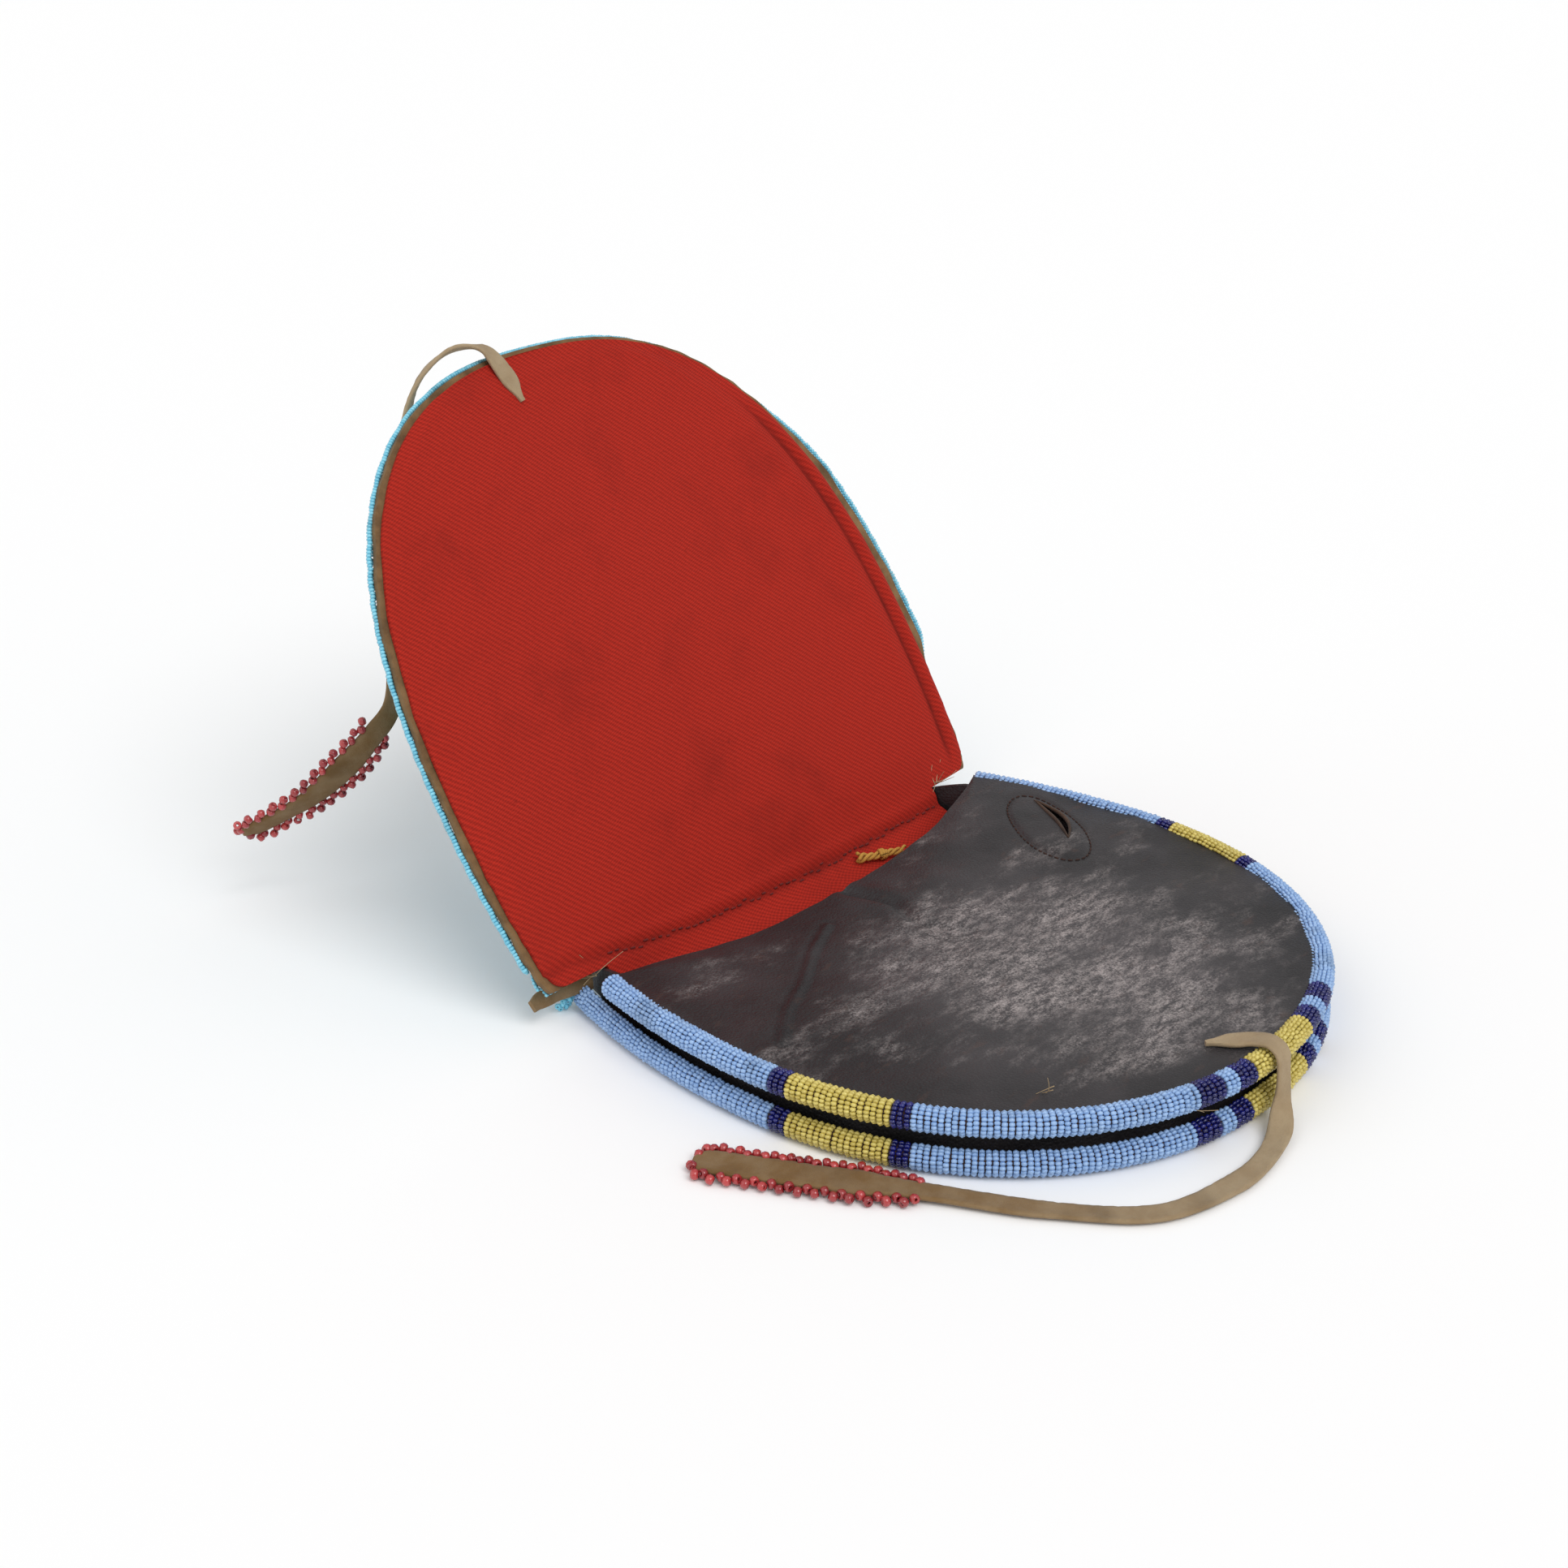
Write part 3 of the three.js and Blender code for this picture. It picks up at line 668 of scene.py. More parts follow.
@dataclass(frozen=True)
class BlackLeather:
    """Worn black leather with grain and grey rubbed patches."""

    name: str
    scuffed: bool
    rub_middle: tuple[float, float, float] = (-4.0, -118.0, 19.8)
    rub_reach: float = 88.0
    rub_turn: float = 50.0

    def material(self) -> bpy.types.Material:
        """Paints the leather.

        Returns:
            The material.
        """
        paint = Paint(self.name)
        place = paint.place()
        grain = paint.cells(place, 1150.0)
        pores = paint.noise(place, 2600.0, 2.0)
        creases = paint.noise(paint.stretched(place, (1.0, 2.2, 1.0)), 95.0, 5.0, 0.62)
        mottle = paint.noise(place, 34.0, 4.0)
        black = paint.mix(mottle.between(0.35, 0.7), srgb(27, 25, 27), srgb(49, 45, 47))
        brown = paint.mix(creases.between(0.58, 0.72) * 0.5, black, srgb(68, 49, 42))
        rough = 0.4 + creases * 0.16
        colour = brown
        if self.scuffed:
            middle = tuple(-placed(self.rub_middle))
            moved = paint.node("ShaderNodeVectorMath", {"operation": "ADD"}, {0: place, 1: middle})
            away = paint.node("ShaderNodeVectorMath", {"operation": "LENGTH"}, {0: moved}, "Value")
            near = 1 - away.between(self.rub_reach * MM * 0.3, self.rub_reach * MM)
            way = (0.0, 0.0, math.radians(self.rub_turn))
            patches = paint.noise(paint.stretched(place, (0.75, 1.5, 1.0), way), 34.0, 5.0, 0.62)
            streaks = paint.noise(paint.stretched(place, (1.0, 2.4, 1.0), way), 150.0, 9.0, 0.78)
            flecks = paint.noise(place, 1300.0, 4.0, 0.75)
            cover = (patches * 1.25 + near * 0.3 - 0.12).between(0.55, 0.95)
            dust = cover * (streaks * 0.6 + flecks * 0.4).between(0.42, 0.63)
            specks = flecks.between(0.56, 0.74) * 0.22
            haze = paint.mix(near * 0.25 + specks, brown, srgb(102, 98, 100))
            colour = paint.mix(dust * 0.9, haze, srgb(176, 167, 165))
            rough = rough + dust * 0.3
        paint.bump(creases * 0.55 + pores * 0.2 - grain * 0.35, 0.0006, 0.7)
        return paint.finish({"Base Color": colour, "Roughness": rough, "Specular IOR Level": 0.45})


@dataclass(frozen=True)
class RedWool:
    """Fulled red wool in a broad diagonal twill."""

    name: str = "red_wool_twill"
    rib: float = 1.7
    yarn: float = 0.8

    def material(self) -> bpy.types.Material:
        """Paints the cloth.

        Returns:
            The material.
        """
        paint = Paint(self.name)
        place = paint.place()
        across = paint.dot(place, (1.0, 0.0, 0.0))
        up = paint.dot(place, tuple(UP_FLAP))
        drift = paint.noise(place, 85.0, 2.0) * 0.0016
        diagonal = (across + up) * math.sqrt(0.5) + drift
        ribs = (diagonal * (2 * math.pi / (self.rib * MM))).wave() * 0.5 + 0.5
        slant = (across * 0.35 - up) + drift
        picks = (slant * (2 * math.pi / (self.yarn * MM))).wave() * 0.5 + 0.5
        fluff = paint.noise(place, 1500.0, 4.0, 0.7)
        stains = paint.noise(place, 26.0, 5.0, 0.6)
        specks = paint.noise(place, 190.0, 3.0)
        weave = ribs * 0.3 + picks * 0.22 + fluff * 0.6
        cloth = paint.mix(weave.between(0.15, 1.05), srgb(136, 30, 22), srgb(192, 47, 33))
        dark = stains.between(0.5, 0.75) * 0.34 + specks.between(0.7, 0.82) * 0.5
        # Painted shade: a mesh attribute made from the lining's relief darkens the wool where it dips into
        # the grooves of the hem and the seam; the stains and specks are real.
        soil_and_groove_shade = paint.node("ShaderNodeAttribute", {"attribute_name": "soil_and_groove_shade"}, None, "Fac")
        dark = dark + soil_and_groove_shade * (0.5 + specks)
        colour = paint.mix(dark, cloth, srgb(112, 26, 20))
        paint.bump(weave, 0.0006, 0.6)
        return paint.finish({
            "Base Color": colour,
            "Roughness": 0.86 + fluff * 0.12,
            "Specular IOR Level": 0.15,
            "Sheen Weight": 0.12,
            "Sheen Tint": srgb(220, 90, 70),
        })


@dataclass(frozen=True)
class Hide:
    """Tanned hide with a napped face, paler towards one end where it has a tone."""

    name: str
    pale: Colour
    dark: Colour
    toned: bool = False

    def material(self) -> bpy.types.Material:
        """Paints the hide.

        Returns:
            The material.
        """
        paint = Paint(self.name)
        place = paint.place()
        nap = paint.noise(place, 1700.0, 5.0, 0.7)
        mottle = paint.noise(place, 120.0, 4.0, 0.6)
        soil_and_groove_shade = paint.noise(place, 45.0, 3.0)
        share = mottle.between(0.3, 0.72)
        if self.toned:
            tone = paint.node("ShaderNodeAttribute", {"attribute_name": "tone"}, None, "Fac")
            share = tone * 0.75 + share * 0.3
        body = paint.mix(share, self.pale, self.dark)
        colour = paint.mix(soil_and_groove_shade.between(0.52, 0.78) * 0.3 + nap * 0.14, body, srgb(58, 44, 30))
        paint.bump(nap * 0.5 + mottle * 0.5, 0.0006, 0.8)
        return paint.finish({
            "Base Color": colour,
            "Roughness": 0.82 + nap * 0.15,
            "Specular IOR Level": 0.2,
            "Sheen Weight": 0.1,
        })


@dataclass(frozen=True)
class Thread:
    """Sewing thread or yarn with a twist."""

    name: str
    dark: Colour
    light: Colour

    def material(self) -> bpy.types.Material:
        """Paints the thread.

        Returns:
            The material.
        """
        paint = Paint(self.name)
        place = paint.place()
        own = paint.random_bead()
        fibres = paint.noise(paint.stretched(place, (1.0, 1.0, 2.0), (0.5, 0.4, 0.7)), 2200.0, 3.0, 0.7)
        colour = paint.mix(own * 0.4 + fibres * 0.6, self.dark, self.light)
        paint.bump(fibres, 0.0003, 0.7)
        return paint.finish({"Base Color": colour, "Roughness": 0.75 + fibres * 0.2})


class Finishes:
    """All materials of the pouch, each made once."""

    def __init__(self) -> None:
        """Makes the materials."""
        self.panel = BlackLeather("scuffed_black_leather", True).material()
        self.leather = BlackLeather("black_leather_plain", False).material()
        self.wool = RedWool().material()
        self.buckskin = Hide("smoked_buckskin", srgb(138, 108, 72), srgb(98, 74, 48)).material()
        self.thong = Hide("thong_buckskin", srgb(172, 152, 122), srgb(122, 92, 54), True).material()
        self.lip = Hide("worn_slit_edge", srgb(82, 62, 48), srgb(46, 34, 28)).material()
        self.stitch = Thread("dark_sewing_thread", srgb(34, 20, 16), srgb(70, 42, 32)).material()
        self.seam = Thread("dark_red_seam_thread", srgb(62, 12, 14), srgb(132, 36, 30)).material()
        self.sinew = Thread("loose_sinew", srgb(150, 122, 84), srgb(206, 186, 150)).material()
        self.yarn = Thread("mustard_wool_yarn", srgb(160, 108, 36), srgb(222, 176, 84)).material()
        self.beads = {
            Slot.BLUE: GlassBeads("light_blue_beads", srgb(128, 164, 212), srgb(160, 192, 232)).material(),
            Slot.NAVY: GlassBeads("navy_beads", srgb(8, 10, 66), srgb(22, 30, 124), 0.16, 0.5).material(),
            Slot.YELLOW: GlassBeads("mustard_beads", srgb(186, 166, 74), srgb(222, 206, 118)).material(),
            Slot.TURQUOISE: GlassBeads("turquoise_beads", srgb(96, 184, 212), srgb(146, 220, 240)).material(),
            Slot.RED: GlassBeads(
                "white_heart_red_beads", srgb(126, 24, 32), srgb(196, 66, 66), 0.14, 0.6
            ).material(),
        }


def dress(thing: bpy.types.Object, material: bpy.types.Material, body: str | None) -> None:
    """Gives a piece its material and the body that carries it.

    Args:
        thing: The piece.
        material: Its material.
        body: Body that it rides on, or None to leave it without one.
    """
    thing.data.materials.clear()
    thing.data.materials.append(material)
    if body is not None:
        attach(thing, body)
    LOG.info("%s: %d faces", thing.name, len(thing.data.polygons))


# Outlines


@dataclass(frozen=True)
class Horseshoe:
    """A horseshoe outline: slightly bowed sides and a superellipse end."""

    half_width: float
    widest: float
    length: float
    base_half_width: float
    base: float
    fullness: float

    def half_at(self, distance: Any) -> np.ndarray:
        """Gives the half width at distances from the hinge line.

        Args:
            distance: Distances.

        Returns:
            The half widths.
        """
        distance = np.asarray(distance, dtype=float)
        rise = np.clip((distance - self.widest) / (self.length - self.widest), 0.0, 1.0)
        end = self.half_width * (1 - rise**self.fullness) ** (1 / self.fullness)
        fall = np.clip((self.widest - distance) / (self.widest - self.base), 0.0, None)
        side = self.half_width - (self.half_width - self.base_half_width) * fall**2
        return np.where(distance > self.widest, end, side)

    def line(self, start: float, inset: float = 0.0, steps: int = 160) -> np.ndarray:
        """Runs from the +X side round the tip to the -X side.

        Args:
            start: Distance at which the line starts.
            inset: How far it is moved inwards.
            steps: Points on each quarter.

        Returns:
            Points of (x, distance).
        """
        side = np.linspace(start, self.widest, steps, endpoint=False)
        turn = np.linspace(0, math.pi / 2, 2 * steps)
        power = 2 / self.fullness
        across = self.half_width * np.cos(turn[:-1]) ** power
        along = self.widest + (self.length - self.widest) * np.sin(turn[:-1]) ** power
        half = np.stack(
            [np.concatenate([self.half_at(side), across]), np.concatenate([side, along])], axis=1
        )
        points = np.vstack([half, [[0.0, self.length]], (half * [-1, 1])[::-1]])
        way = tangents(points)
        return points + inset * np.stack([-way[:, 1], way[:, 0]], axis=1)


POUCH = Horseshoe(107.6, 75.0, 187.0, 95.4, 0.0, 2.1)
FLAP = Horseshoe(114.6, 45.0, 189.4, 110.1, -8.0, 2.5)
FRONT_RIM_Z = 17.0
BACK_RIM_Z = 4.1
FRONT_END = 9.0
BACK_END = -10.0
BEAD_ROW = 1.9


# Camera and studio


@dataclass(frozen=True)
class PhotoCamera:
    """The camera of the photograph, fitted to it."""

    spot: tuple[float, float, float] = (-514.8, -423.4, 355.4)
    lens: float = 49.74
    tilt: float = 24.757
    turn: float = -50.431

    def build(self) -> None:
        """Makes the camera and sets it as the scene's."""
        data = bpy.data.cameras.new("photo_camera")
        data.sensor_width = 36.0
        data.lens = self.lens
        data.clip_start = 0.01
        thing = bpy.data.objects.new("photo_camera", data)
        thing.location = Vector(placed(self.spot))
        thing.rotation_euler = (math.radians(90 - self.tilt), 0.0, math.radians(self.turn))
        bpy.context.scene.collection.objects.link(thing)
        bpy.context.scene.camera = thing


@dataclass(frozen=True)
class Studio:
    """White floor, an even sky and two soft lamps."""

    floor: float = 9.0
    sky: float = 0.56
    key: float = 1.5
    key_turn: tuple[float, float, float] = (38.0, 6.0, -24.0)
    fill: float = 0.55
    fill_turn: tuple[float, float, float] = (52.0, 0.0, -118.0)

    def build(self) -> None:
        """Makes the floor, the sky and the lamps."""
        half = self.floor / 2
        mesh = bpy.data.meshes.new("studio_floor")
        corners = [(-half, -half, 0.0), (half, -half, 0.0), (half, half, 0.0), (-half, half, 0.0)]
        mesh.from_pydata(corners, [], [(0, 1, 2, 3)])
        floor = bpy.data.objects.new("studio_floor", mesh)
        floor.location.z = CAD_BOX[0][2] - 0.0004
        bpy.context.scene.collection.objects.link(floor)
        paint = Paint("white_floor")
        mesh.materials.append(paint.finish({
            "Base Color": srgb(250, 250, 250),
            "Roughness": 0.95,
            "Specular IOR Level": 0.0,
        }))
        self._sky()
        self._lamp("key_lamp", self.key, 40.0, self.key_turn)
        self._lamp("fill_lamp", self.fill, 70.0, self.fill_turn)
        bpy.context.scene.view_settings.view_transform = "Standard"

    def _sky(self) -> None:
        """Lights evenly from all round, and shows white to the camera."""
        world = bpy.data.worlds.new("studio_sky")
        world.use_nodes = True
        bpy.context.scene.world = world
        nodes, links = world.node_tree.nodes, world.node_tree.links
        seen = nodes["Background"]
        seen.inputs["Color"].default_value = (1.0, 1.0, 1.0, 1.0)
        seen.inputs["Strength"].default_value = 1.0
        light = nodes.new("ShaderNodeBackground")
        light.inputs["Color"].default_value = (1.0, 1.0, 1.0, 1.0)
        light.inputs["Strength"].default_value = self.sky
        path = nodes.new("ShaderNodeLightPath")
        choice = nodes.new("ShaderNodeMixShader")
        links.new(path.outputs["Is Camera Ray"], choice.inputs[0])
        links.new(light.outputs[0], choice.inputs[1])
        links.new(seen.outputs[0], choice.inputs[2])
        links.new(choice.outputs[0], nodes["World Output"].inputs["Surface"])

    @staticmethod
    def _lamp(name: str, strength: float, spread: float, turn: tuple[float, float, float]) -> None:
        """Makes one soft lamp.

        Args:
            name: Name of the lamp.
            strength: Its strength.
            spread: Its width in degrees.
            turn: Its rotation in degrees.
        """
        data = bpy.data.lights.new(name, "SUN")
        data.energy = strength
        data.angle = math.radians(spread)
        thing = bpy.data.objects.new(name, data)
        thing.rotation_euler = tuple(math.radians(angle) for angle in turn)
        bpy.context.scene.collection.objects.link(thing)


# Thongs


@dataclass
class Thong:
    """A hide strip that widens into a tab edged with red beads."""

    name: str
    node: str
    bead_node: str
    body: str
    length: float
    lay: str
    route: Sequence[Sequence[float]]
    flap_axes: bool
    seed: int
    sewn: int = 0
    width: float = 7.0
    tab_width: float = 11.0
    tab_length: float = 66.0
    thickness: float = 1.5
    tip: float = 9.0
    bead_radius: float = 1.5
    bead_length: float = 2.3
    bead_pitch: float = 2.5
    steps: int = 170
    line: np.ndarray = field(init=False)
    side: np.ndarray = field(init=False)
    face: np.ndarray = field(init=False)

    def __post_init__(self) -> None:
        """Runs the centre line and its axes through the route."""
        rows = np.array(self.route, dtype=float)
        spots, wide = rows[:, :3], rows[:, 3:]
        if self.flap_axes:
            spots = on_flap(*spots.T)
            wide = on_flap(*wide.T) - on_flap(0, 0, 0)
        curve = catmull(np.hstack([spots, wide]))
        steps = np.linalg.norm(np.diff(curve[:, :3], axis=0), axis=1)
        run = np.concatenate([[0.0], np.cumsum(steps)])
        places = np.linspace(0, run[-1], self.steps)
        even = np.stack([np.interp(places, run, curve[:, axis]) for axis in range(6)], axis=1)
        self.line = even[:, :3]
        along = tangents(self.line)
        side = even[:, 3:]
        self.side = unit(side - (side * along).sum(-1, keepdims=True) * along)
        self.face = np.cross(along, self.side)
        if self.face[-1] @ UP < 0:
            self.face = -self.face

    def half_widths(self) -> np.ndarray:
        """Gives the strip's half width at each point of its line.

        Returns:
            The half widths.
        """
        place = np.linspace(0, run_length(self.line), self.steps)
        left = place[-1] - place
        tab = smooth(left, self.tab_length, self.tab_length - 22)
        width = self.width + (self.tab_width - self.width) * tab
        rng = np.random.default_rng(self.seed)
        waver = np.interp(place, np.linspace(0, place[-1], 26), rng.uniform(0.92, 1.07, 26))
        end = np.sqrt(np.clip(1 - (1 - np.clip(left / 5.5, 0.0, 1.0)) ** 2, 0.02, 1.0))
        point = 0.25 + 0.75 * smooth(place, 0.0, self.tip)
        return width * waver * end * point / 2

    def build(self, finishes: Finishes) -> None:
        """Args:
            finishes: Materials.
        """
        half = self.half_widths()
        across = np.array([-1.0, -0.94, -0.7, -0.35, 0.0, 0.35, 0.7, 0.94, 1.0])
        rng = np.random.default_rng(self.seed + 1)
        ripple = rng.normal(0, 0.07, (self.steps, len(across)))
        curl = 0.28 * across**2 - 0.1
        thinning = np.array([0.25, 0.8, 1.0, 1.0, 1.0, 1.0, 1.0, 0.8, 0.25])
        thick = self.thickness / 2 * thinning
        offset = half[:, None] * across[None]
        top = curl + thick + ripple
        low = curl - thick + ripple * 0.5
        flat = self.line[:, None] + offset[..., None] * self.side[:, None]
        upper = flat + top[..., None] * self.face[:, None]
        lower = flat + low[..., None] * self.face[:, None]
        rings = np.concatenate([upper, lower[:, ::-1]], axis=1)
        strip = self._strip(self.name, rings, self.sewn, self.steps)
        dress(strip, finishes.thong, self.body)
        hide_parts(self.node)
        if self.sewn:
            end = self._strip(self.name + "_sewn_end", rings, 0, self.sewn + 1)
            dress(end, finishes.thong, self.body)
        beads = self._beads(half)
        dress(beads, finishes.beads[Slot.RED], self.body)
        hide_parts(self.bead_node)
        if self.body == FLAP_BODY:
            anchor = tuple(placed(on_flap(-50.0, 150.0, -6.2)))
            for piece in (strip, beads):
                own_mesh(piece)

    def _strip(self, name: str, rings: np.ndarray, first: int, last: int) -> bpy.types.Object:
        """Skins a stretch of the strip and gives it the tone of its place.

        Args:
            name: Name of the piece.
            rings: Rings of the whole strip.
            first: First ring of the stretch.
            last: Ring after its last one.

        Returns:
            The stretch.
        """
        strip = outward(mesh_object(name, *loft(rings[first:last]), sharp=70))
        tone = smooth(np.linspace(0, 1, self.steps), 0.2, 0.85)[first:last]
        layer = strip.data.attributes.new("tone", "FLOAT", "POINT")
        layer.data.foreach_set("value", np.repeat(tone, rings.shape[1]).astype(np.float32))
        return strip

    def _beads(self, half: np.ndarray) -> bpy.types.Object:
        """Sews beads in a zigzag round the tab's edge.

        Args:
            half: Half widths of the strip.

        Returns:
            The beads.
        """
        place = np.linspace(0, run_length(self.line), self.steps)
        tab = place > place[-1] - self.tab_length
        right = self.line[tab] + half[tab, None] * self.side[tab]
        left = self.line[tab] - half[tab, None] * self.side[tab]
        edge = np.vstack([right, left[::-1]])
        faces = np.vstack([self.face[tab], self.face[tab][::-1]])
        middle = np.vstack([self.line[tab], self.line[tab][::-1]])
        count = int(run_length(edge) / self.bead_pitch)
        places = (np.arange(count) + 0.5) * run_length(edge) / count
        spots = spaced(edge, places)
        along = tangents(spots)
        out = unit(spaced(np.cross(along_of(edge), faces), places))
        away = spots - spaced(middle, places)
        out = np.where(((out * away).sum(-1) < 0)[:, None], -out, out)
        up = unit(np.cross(out, along))
        up = np.where((up @ UP < 0)[:, None], -up, up)
        rng = np.random.default_rng(self.seed + 2)
        odd = (np.arange(count) % 2)[:, None]
        centres = spots + out * (0.7 + 1.5 * odd) + up * (0.15 - 0.3 * odd) + rng.normal(0, 0.12, (count, 3))
        tilt = np.where(odd > 0, 0.15, 0.9)
        flip = rng.choice([-1, 1], (count, 1))
        axis = along * (1 - 0.35 * odd) + out * tilt * flip + rng.normal(0, 0.18, (count, 3))
        size = self.bead_radius * rng.normal(1, 0.04, count)
        beads = string_beads(TAB_BEAD, centres, axis, up, size, self.bead_length)
        return mesh_object(self.name + "_beads", *beads)


def along_of(line: np.ndarray) -> np.ndarray:
    """Gives the directions along a polyline that may stand still in places."""
    steps = np.gradient(line, axis=0)
    steps[np.linalg.norm(steps, axis=1) < 1e-9] = (1.0, 0.0, 0.0)
    return unit(steps)


FRONT_THONG = Thong(
    "front_tie_thong", "front_thong", "front_tab_beads", POUCH_BODY, 0.236, "loose",
    [
        (-17, -172, 21, 0.7, 0.7, 0), (-11, -178, 21.4, 0.8, 0.6, 0), (-7.5, -183.5, 22.3, 1, 0.3, 0),
        (-6.5, -188, 22.5, 1, 0.1, 0), (-7, -191.6, 20.6, 1, 0, 0), (-8.5, -193.4, 15, 1, 0, 0),
        (-11.5, -195.3, 7.5, 1, -0.2, 0.1), (-19, -199, 2.6, 0.6, -0.8, 0.1),
        (-33, -201.5, 1.3, 0.2, -1, 0), (-48.4, -200.5, 1.1, 0, -1, 0), (-72.9, -191.7, 1.1, -0.4, -0.9, 0),
        (-91, -168.4, 1.3, -0.8, -0.5, 0), (-107.5, -135, 1.7, -0.9, -0.45, 0),
        (-122, -106, 1.7, -0.9, -0.45, 0), (-136, -77, 1.7, -0.9, -0.45, 0),
    ],
    False, 11,
)
FLAP_THONG = Thong(
    "flap_tie_thong", "flap_thong", "flap_tab_beads", FLAP_BODY, 0.189, "hanging",
    [
        (-17, 173, 1.2, 1, -0.1, 0), (-19, 184, 1.3, 1, -0.1, 0), (-22.5, 193.6, 0.6, 0.9, 0.1, -0.4),
        (-31, 197.2, -3, 0.4, 0.1, -0.9), (-42, 194, -7.5, 0.1, 0, -1), (-51, 186, -11, 0.4, -0.3, -0.8),
        (-58, 168, -20.8, 0.9, -0.4, -0.2), (-64, 142.5, -36.7, 1, -0.3, 0), (-70, 120, -48.1, 1, -0.3, 0),
        (-76.7, 99, -58.5, 0.9, -0.4, 0.1), (-84.1, 93, -64.9, 0.8, -0.55, 0.25),
        (-92, 86.9, -79.8, 0.85, -0.5, -0.1), (-99.3, 83.2, -94.3, 0.85, -0.4, -0.4),
        (-106.2, 82.5, -106.8, 0.85, -0.35, -0.45), (-113.9, 82.6, -117.6, 0.85, -0.35, -0.45),
    ],
    True, 21, 32,
)


# Pouch


@dataclass
class FrontPanel:
    """The worn leather front with its scar, its crescent slit and the stitched oval round it."""

    level: float = 19.8
    thickness: float = 1.5
    edge: float = 0.8
    mouth_dip: float = 19.0
    rows: int = 98
    columns: int = 224
    scar: tuple = ((-28.6, -40.0), (-46.0, -47.5), (-62.0, -57.0), (-79.0, -64.5), (-94.0, -75.0))
    fold: tuple = ((-6.0, -30.0), (-3.0, -48.0), (-9.0, -62.0), (-3.0, -78.0))
    oval_middle: tuple = (77.5, -55.5)
    oval_turn: float = 55.4
    oval: tuple = (26.5, 11.6)
    slit_length: float = 32.0
    slit_width: float = 4.0
    slit_bow: float = 3.0
    slit_along: float = 5.0
    slit_across: float = 3.0
    stitch_pitch: float = 2.5
    stitch_radius: float = 0.34
    stitch_length: float = 1.8
    seed: int = 31

    def build(self, finishes: Finishes) -> None:
        """Makes the panel, its stitches and the slit's lips.

        Args:
            finishes: Materials.
        """
        outline = POUCH.line(FRONT_END, self.edge) * [1, -1]
        rim = spaced(outline, np.linspace(0, run_length(outline), self.columns))
        share = np.linspace(0, 1, self.columns)[:, None]
        middle = np.array([0.0, rim[0, 1] - 2 * self.mouth_dip])
        mouth = (1 - share) ** 2 * rim[0] + 2 * share * (1 - share) * middle + share**2 * rim[-1]
        inward = np.linspace(0, 1, self.rows)[:, None, None] ** 0.85
        flat = (1 - inward) * rim[None] + inward * mouth[None]
        drop = -0.7 * np.exp(-inward[..., 0] / 0.05) - 0.5 * smooth(inward[..., 0], 0.9, 1.0)
        height = self.level + self.relief(flat) + drop
        top = np.concatenate([flat, height[..., None]], axis=-1)
        bottom = top - np.array([0, 0, self.thickness])
        panel = outward(mesh_object("front_leather", *shell(top, bottom), sharp=60))
        self._cut(panel)
        dress(panel, finishes.panel, POUCH_BODY)
        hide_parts("front_panel")
        dress(self._stitches(), finishes.stitch, POUCH_BODY)
        dress(self._lips(), finishes.lip, POUCH_BODY)

    def oval_place(self, flat: np.ndarray) -> np.ndarray:
        """Gives places in the oval's own axes."""
        turn = math.radians(self.oval_turn)
        along = np.array([math.cos(turn), math.sin(turn)])
        across = np.array([-math.sin(turn), math.cos(turn)])
        off = flat[..., :2] - np.array(self.oval_middle)
        return np.stack([off @ along, off @ across], axis=-1)

    def from_oval(self, along: Any, across: Any) -> np.ndarray:
        """Gives flat places from the oval's own axes."""
        turn = math.radians(self.oval_turn)
        along, across = np.asarray(along, dtype=float), np.asarray(across, dtype=float)
        x = self.oval_middle[0] + along * math.cos(turn) - across * math.sin(turn)
        y = self.oval_middle[1] + along * math.sin(turn) + across * math.cos(turn)
        return np.stack([x, y], axis=-1)

    def relief(self, flat: np.ndarray) -> np.ndarray:
        """Gives the leather's own ups and downs.

        Args:
            flat: Flat places on the panel.

        Returns:
            Heights over the panel's level.
        """
        x, y = flat[..., 0], flat[..., 1]
        rng = np.random.default_rng(self.seed)
        height = np.zeros(flat.shape[:-1])
        for size, share in ((90, 0.5), (48, 0.28), (26, 0.14), (13, 0.07)):
            for _ in range(5):
                turn, phase = rng.uniform(0, 2 * math.pi, 2)
                way = x * math.cos(turn) + y * math.sin(turn)
                height += share * 0.5 * np.sin(way * 2 * math.pi / size + phase)
        scar = to_line(flat, self.scar)
        height += 0.55 * bell(scar, 1.3) - 0.45 * bell(scar - 2.2, 1.0)
        fold = to_line(flat, self.fold)
        deep = 1 - 0.75 * smooth(-y, 34.0, 80.0)
        height += deep * (0.7 * bell(fold - 5.5, 3.5) - 1.5 * bell(fold, 2.2))
        own = self.oval_place(flat)
        ring = np.hypot(own[..., 0] / self.oval[0], own[..., 1] / self.oval[1])
        height += 0.45 * (1 - smooth(ring, 0.75, 1.05)) - 0.55 * bell((ring - 1) * self.oval[1], 0.9)
        return height

    def slit_sides(self, count: int = 24) -> tuple[np.ndarray, np.ndarray]:
        """Gives the crescent's two sides as flat lines.

        Args:
            count: Points on each side.

        Returns:
            The two sides, from the same end.
        """
        share = np.linspace(0, 1, count)
        along = self.slit_along + self.slit_length * (share - 0.5)
        lean = 2 * share * (1 - share)
        deep = -self.slit_across - lean * (2 * self.slit_bow + self.slit_width)
        shallow = -self.slit_across - lean * (2 * self.slit_bow - self.slit_width)
        return self.from_oval(along, deep), self.from_oval(along, shallow)

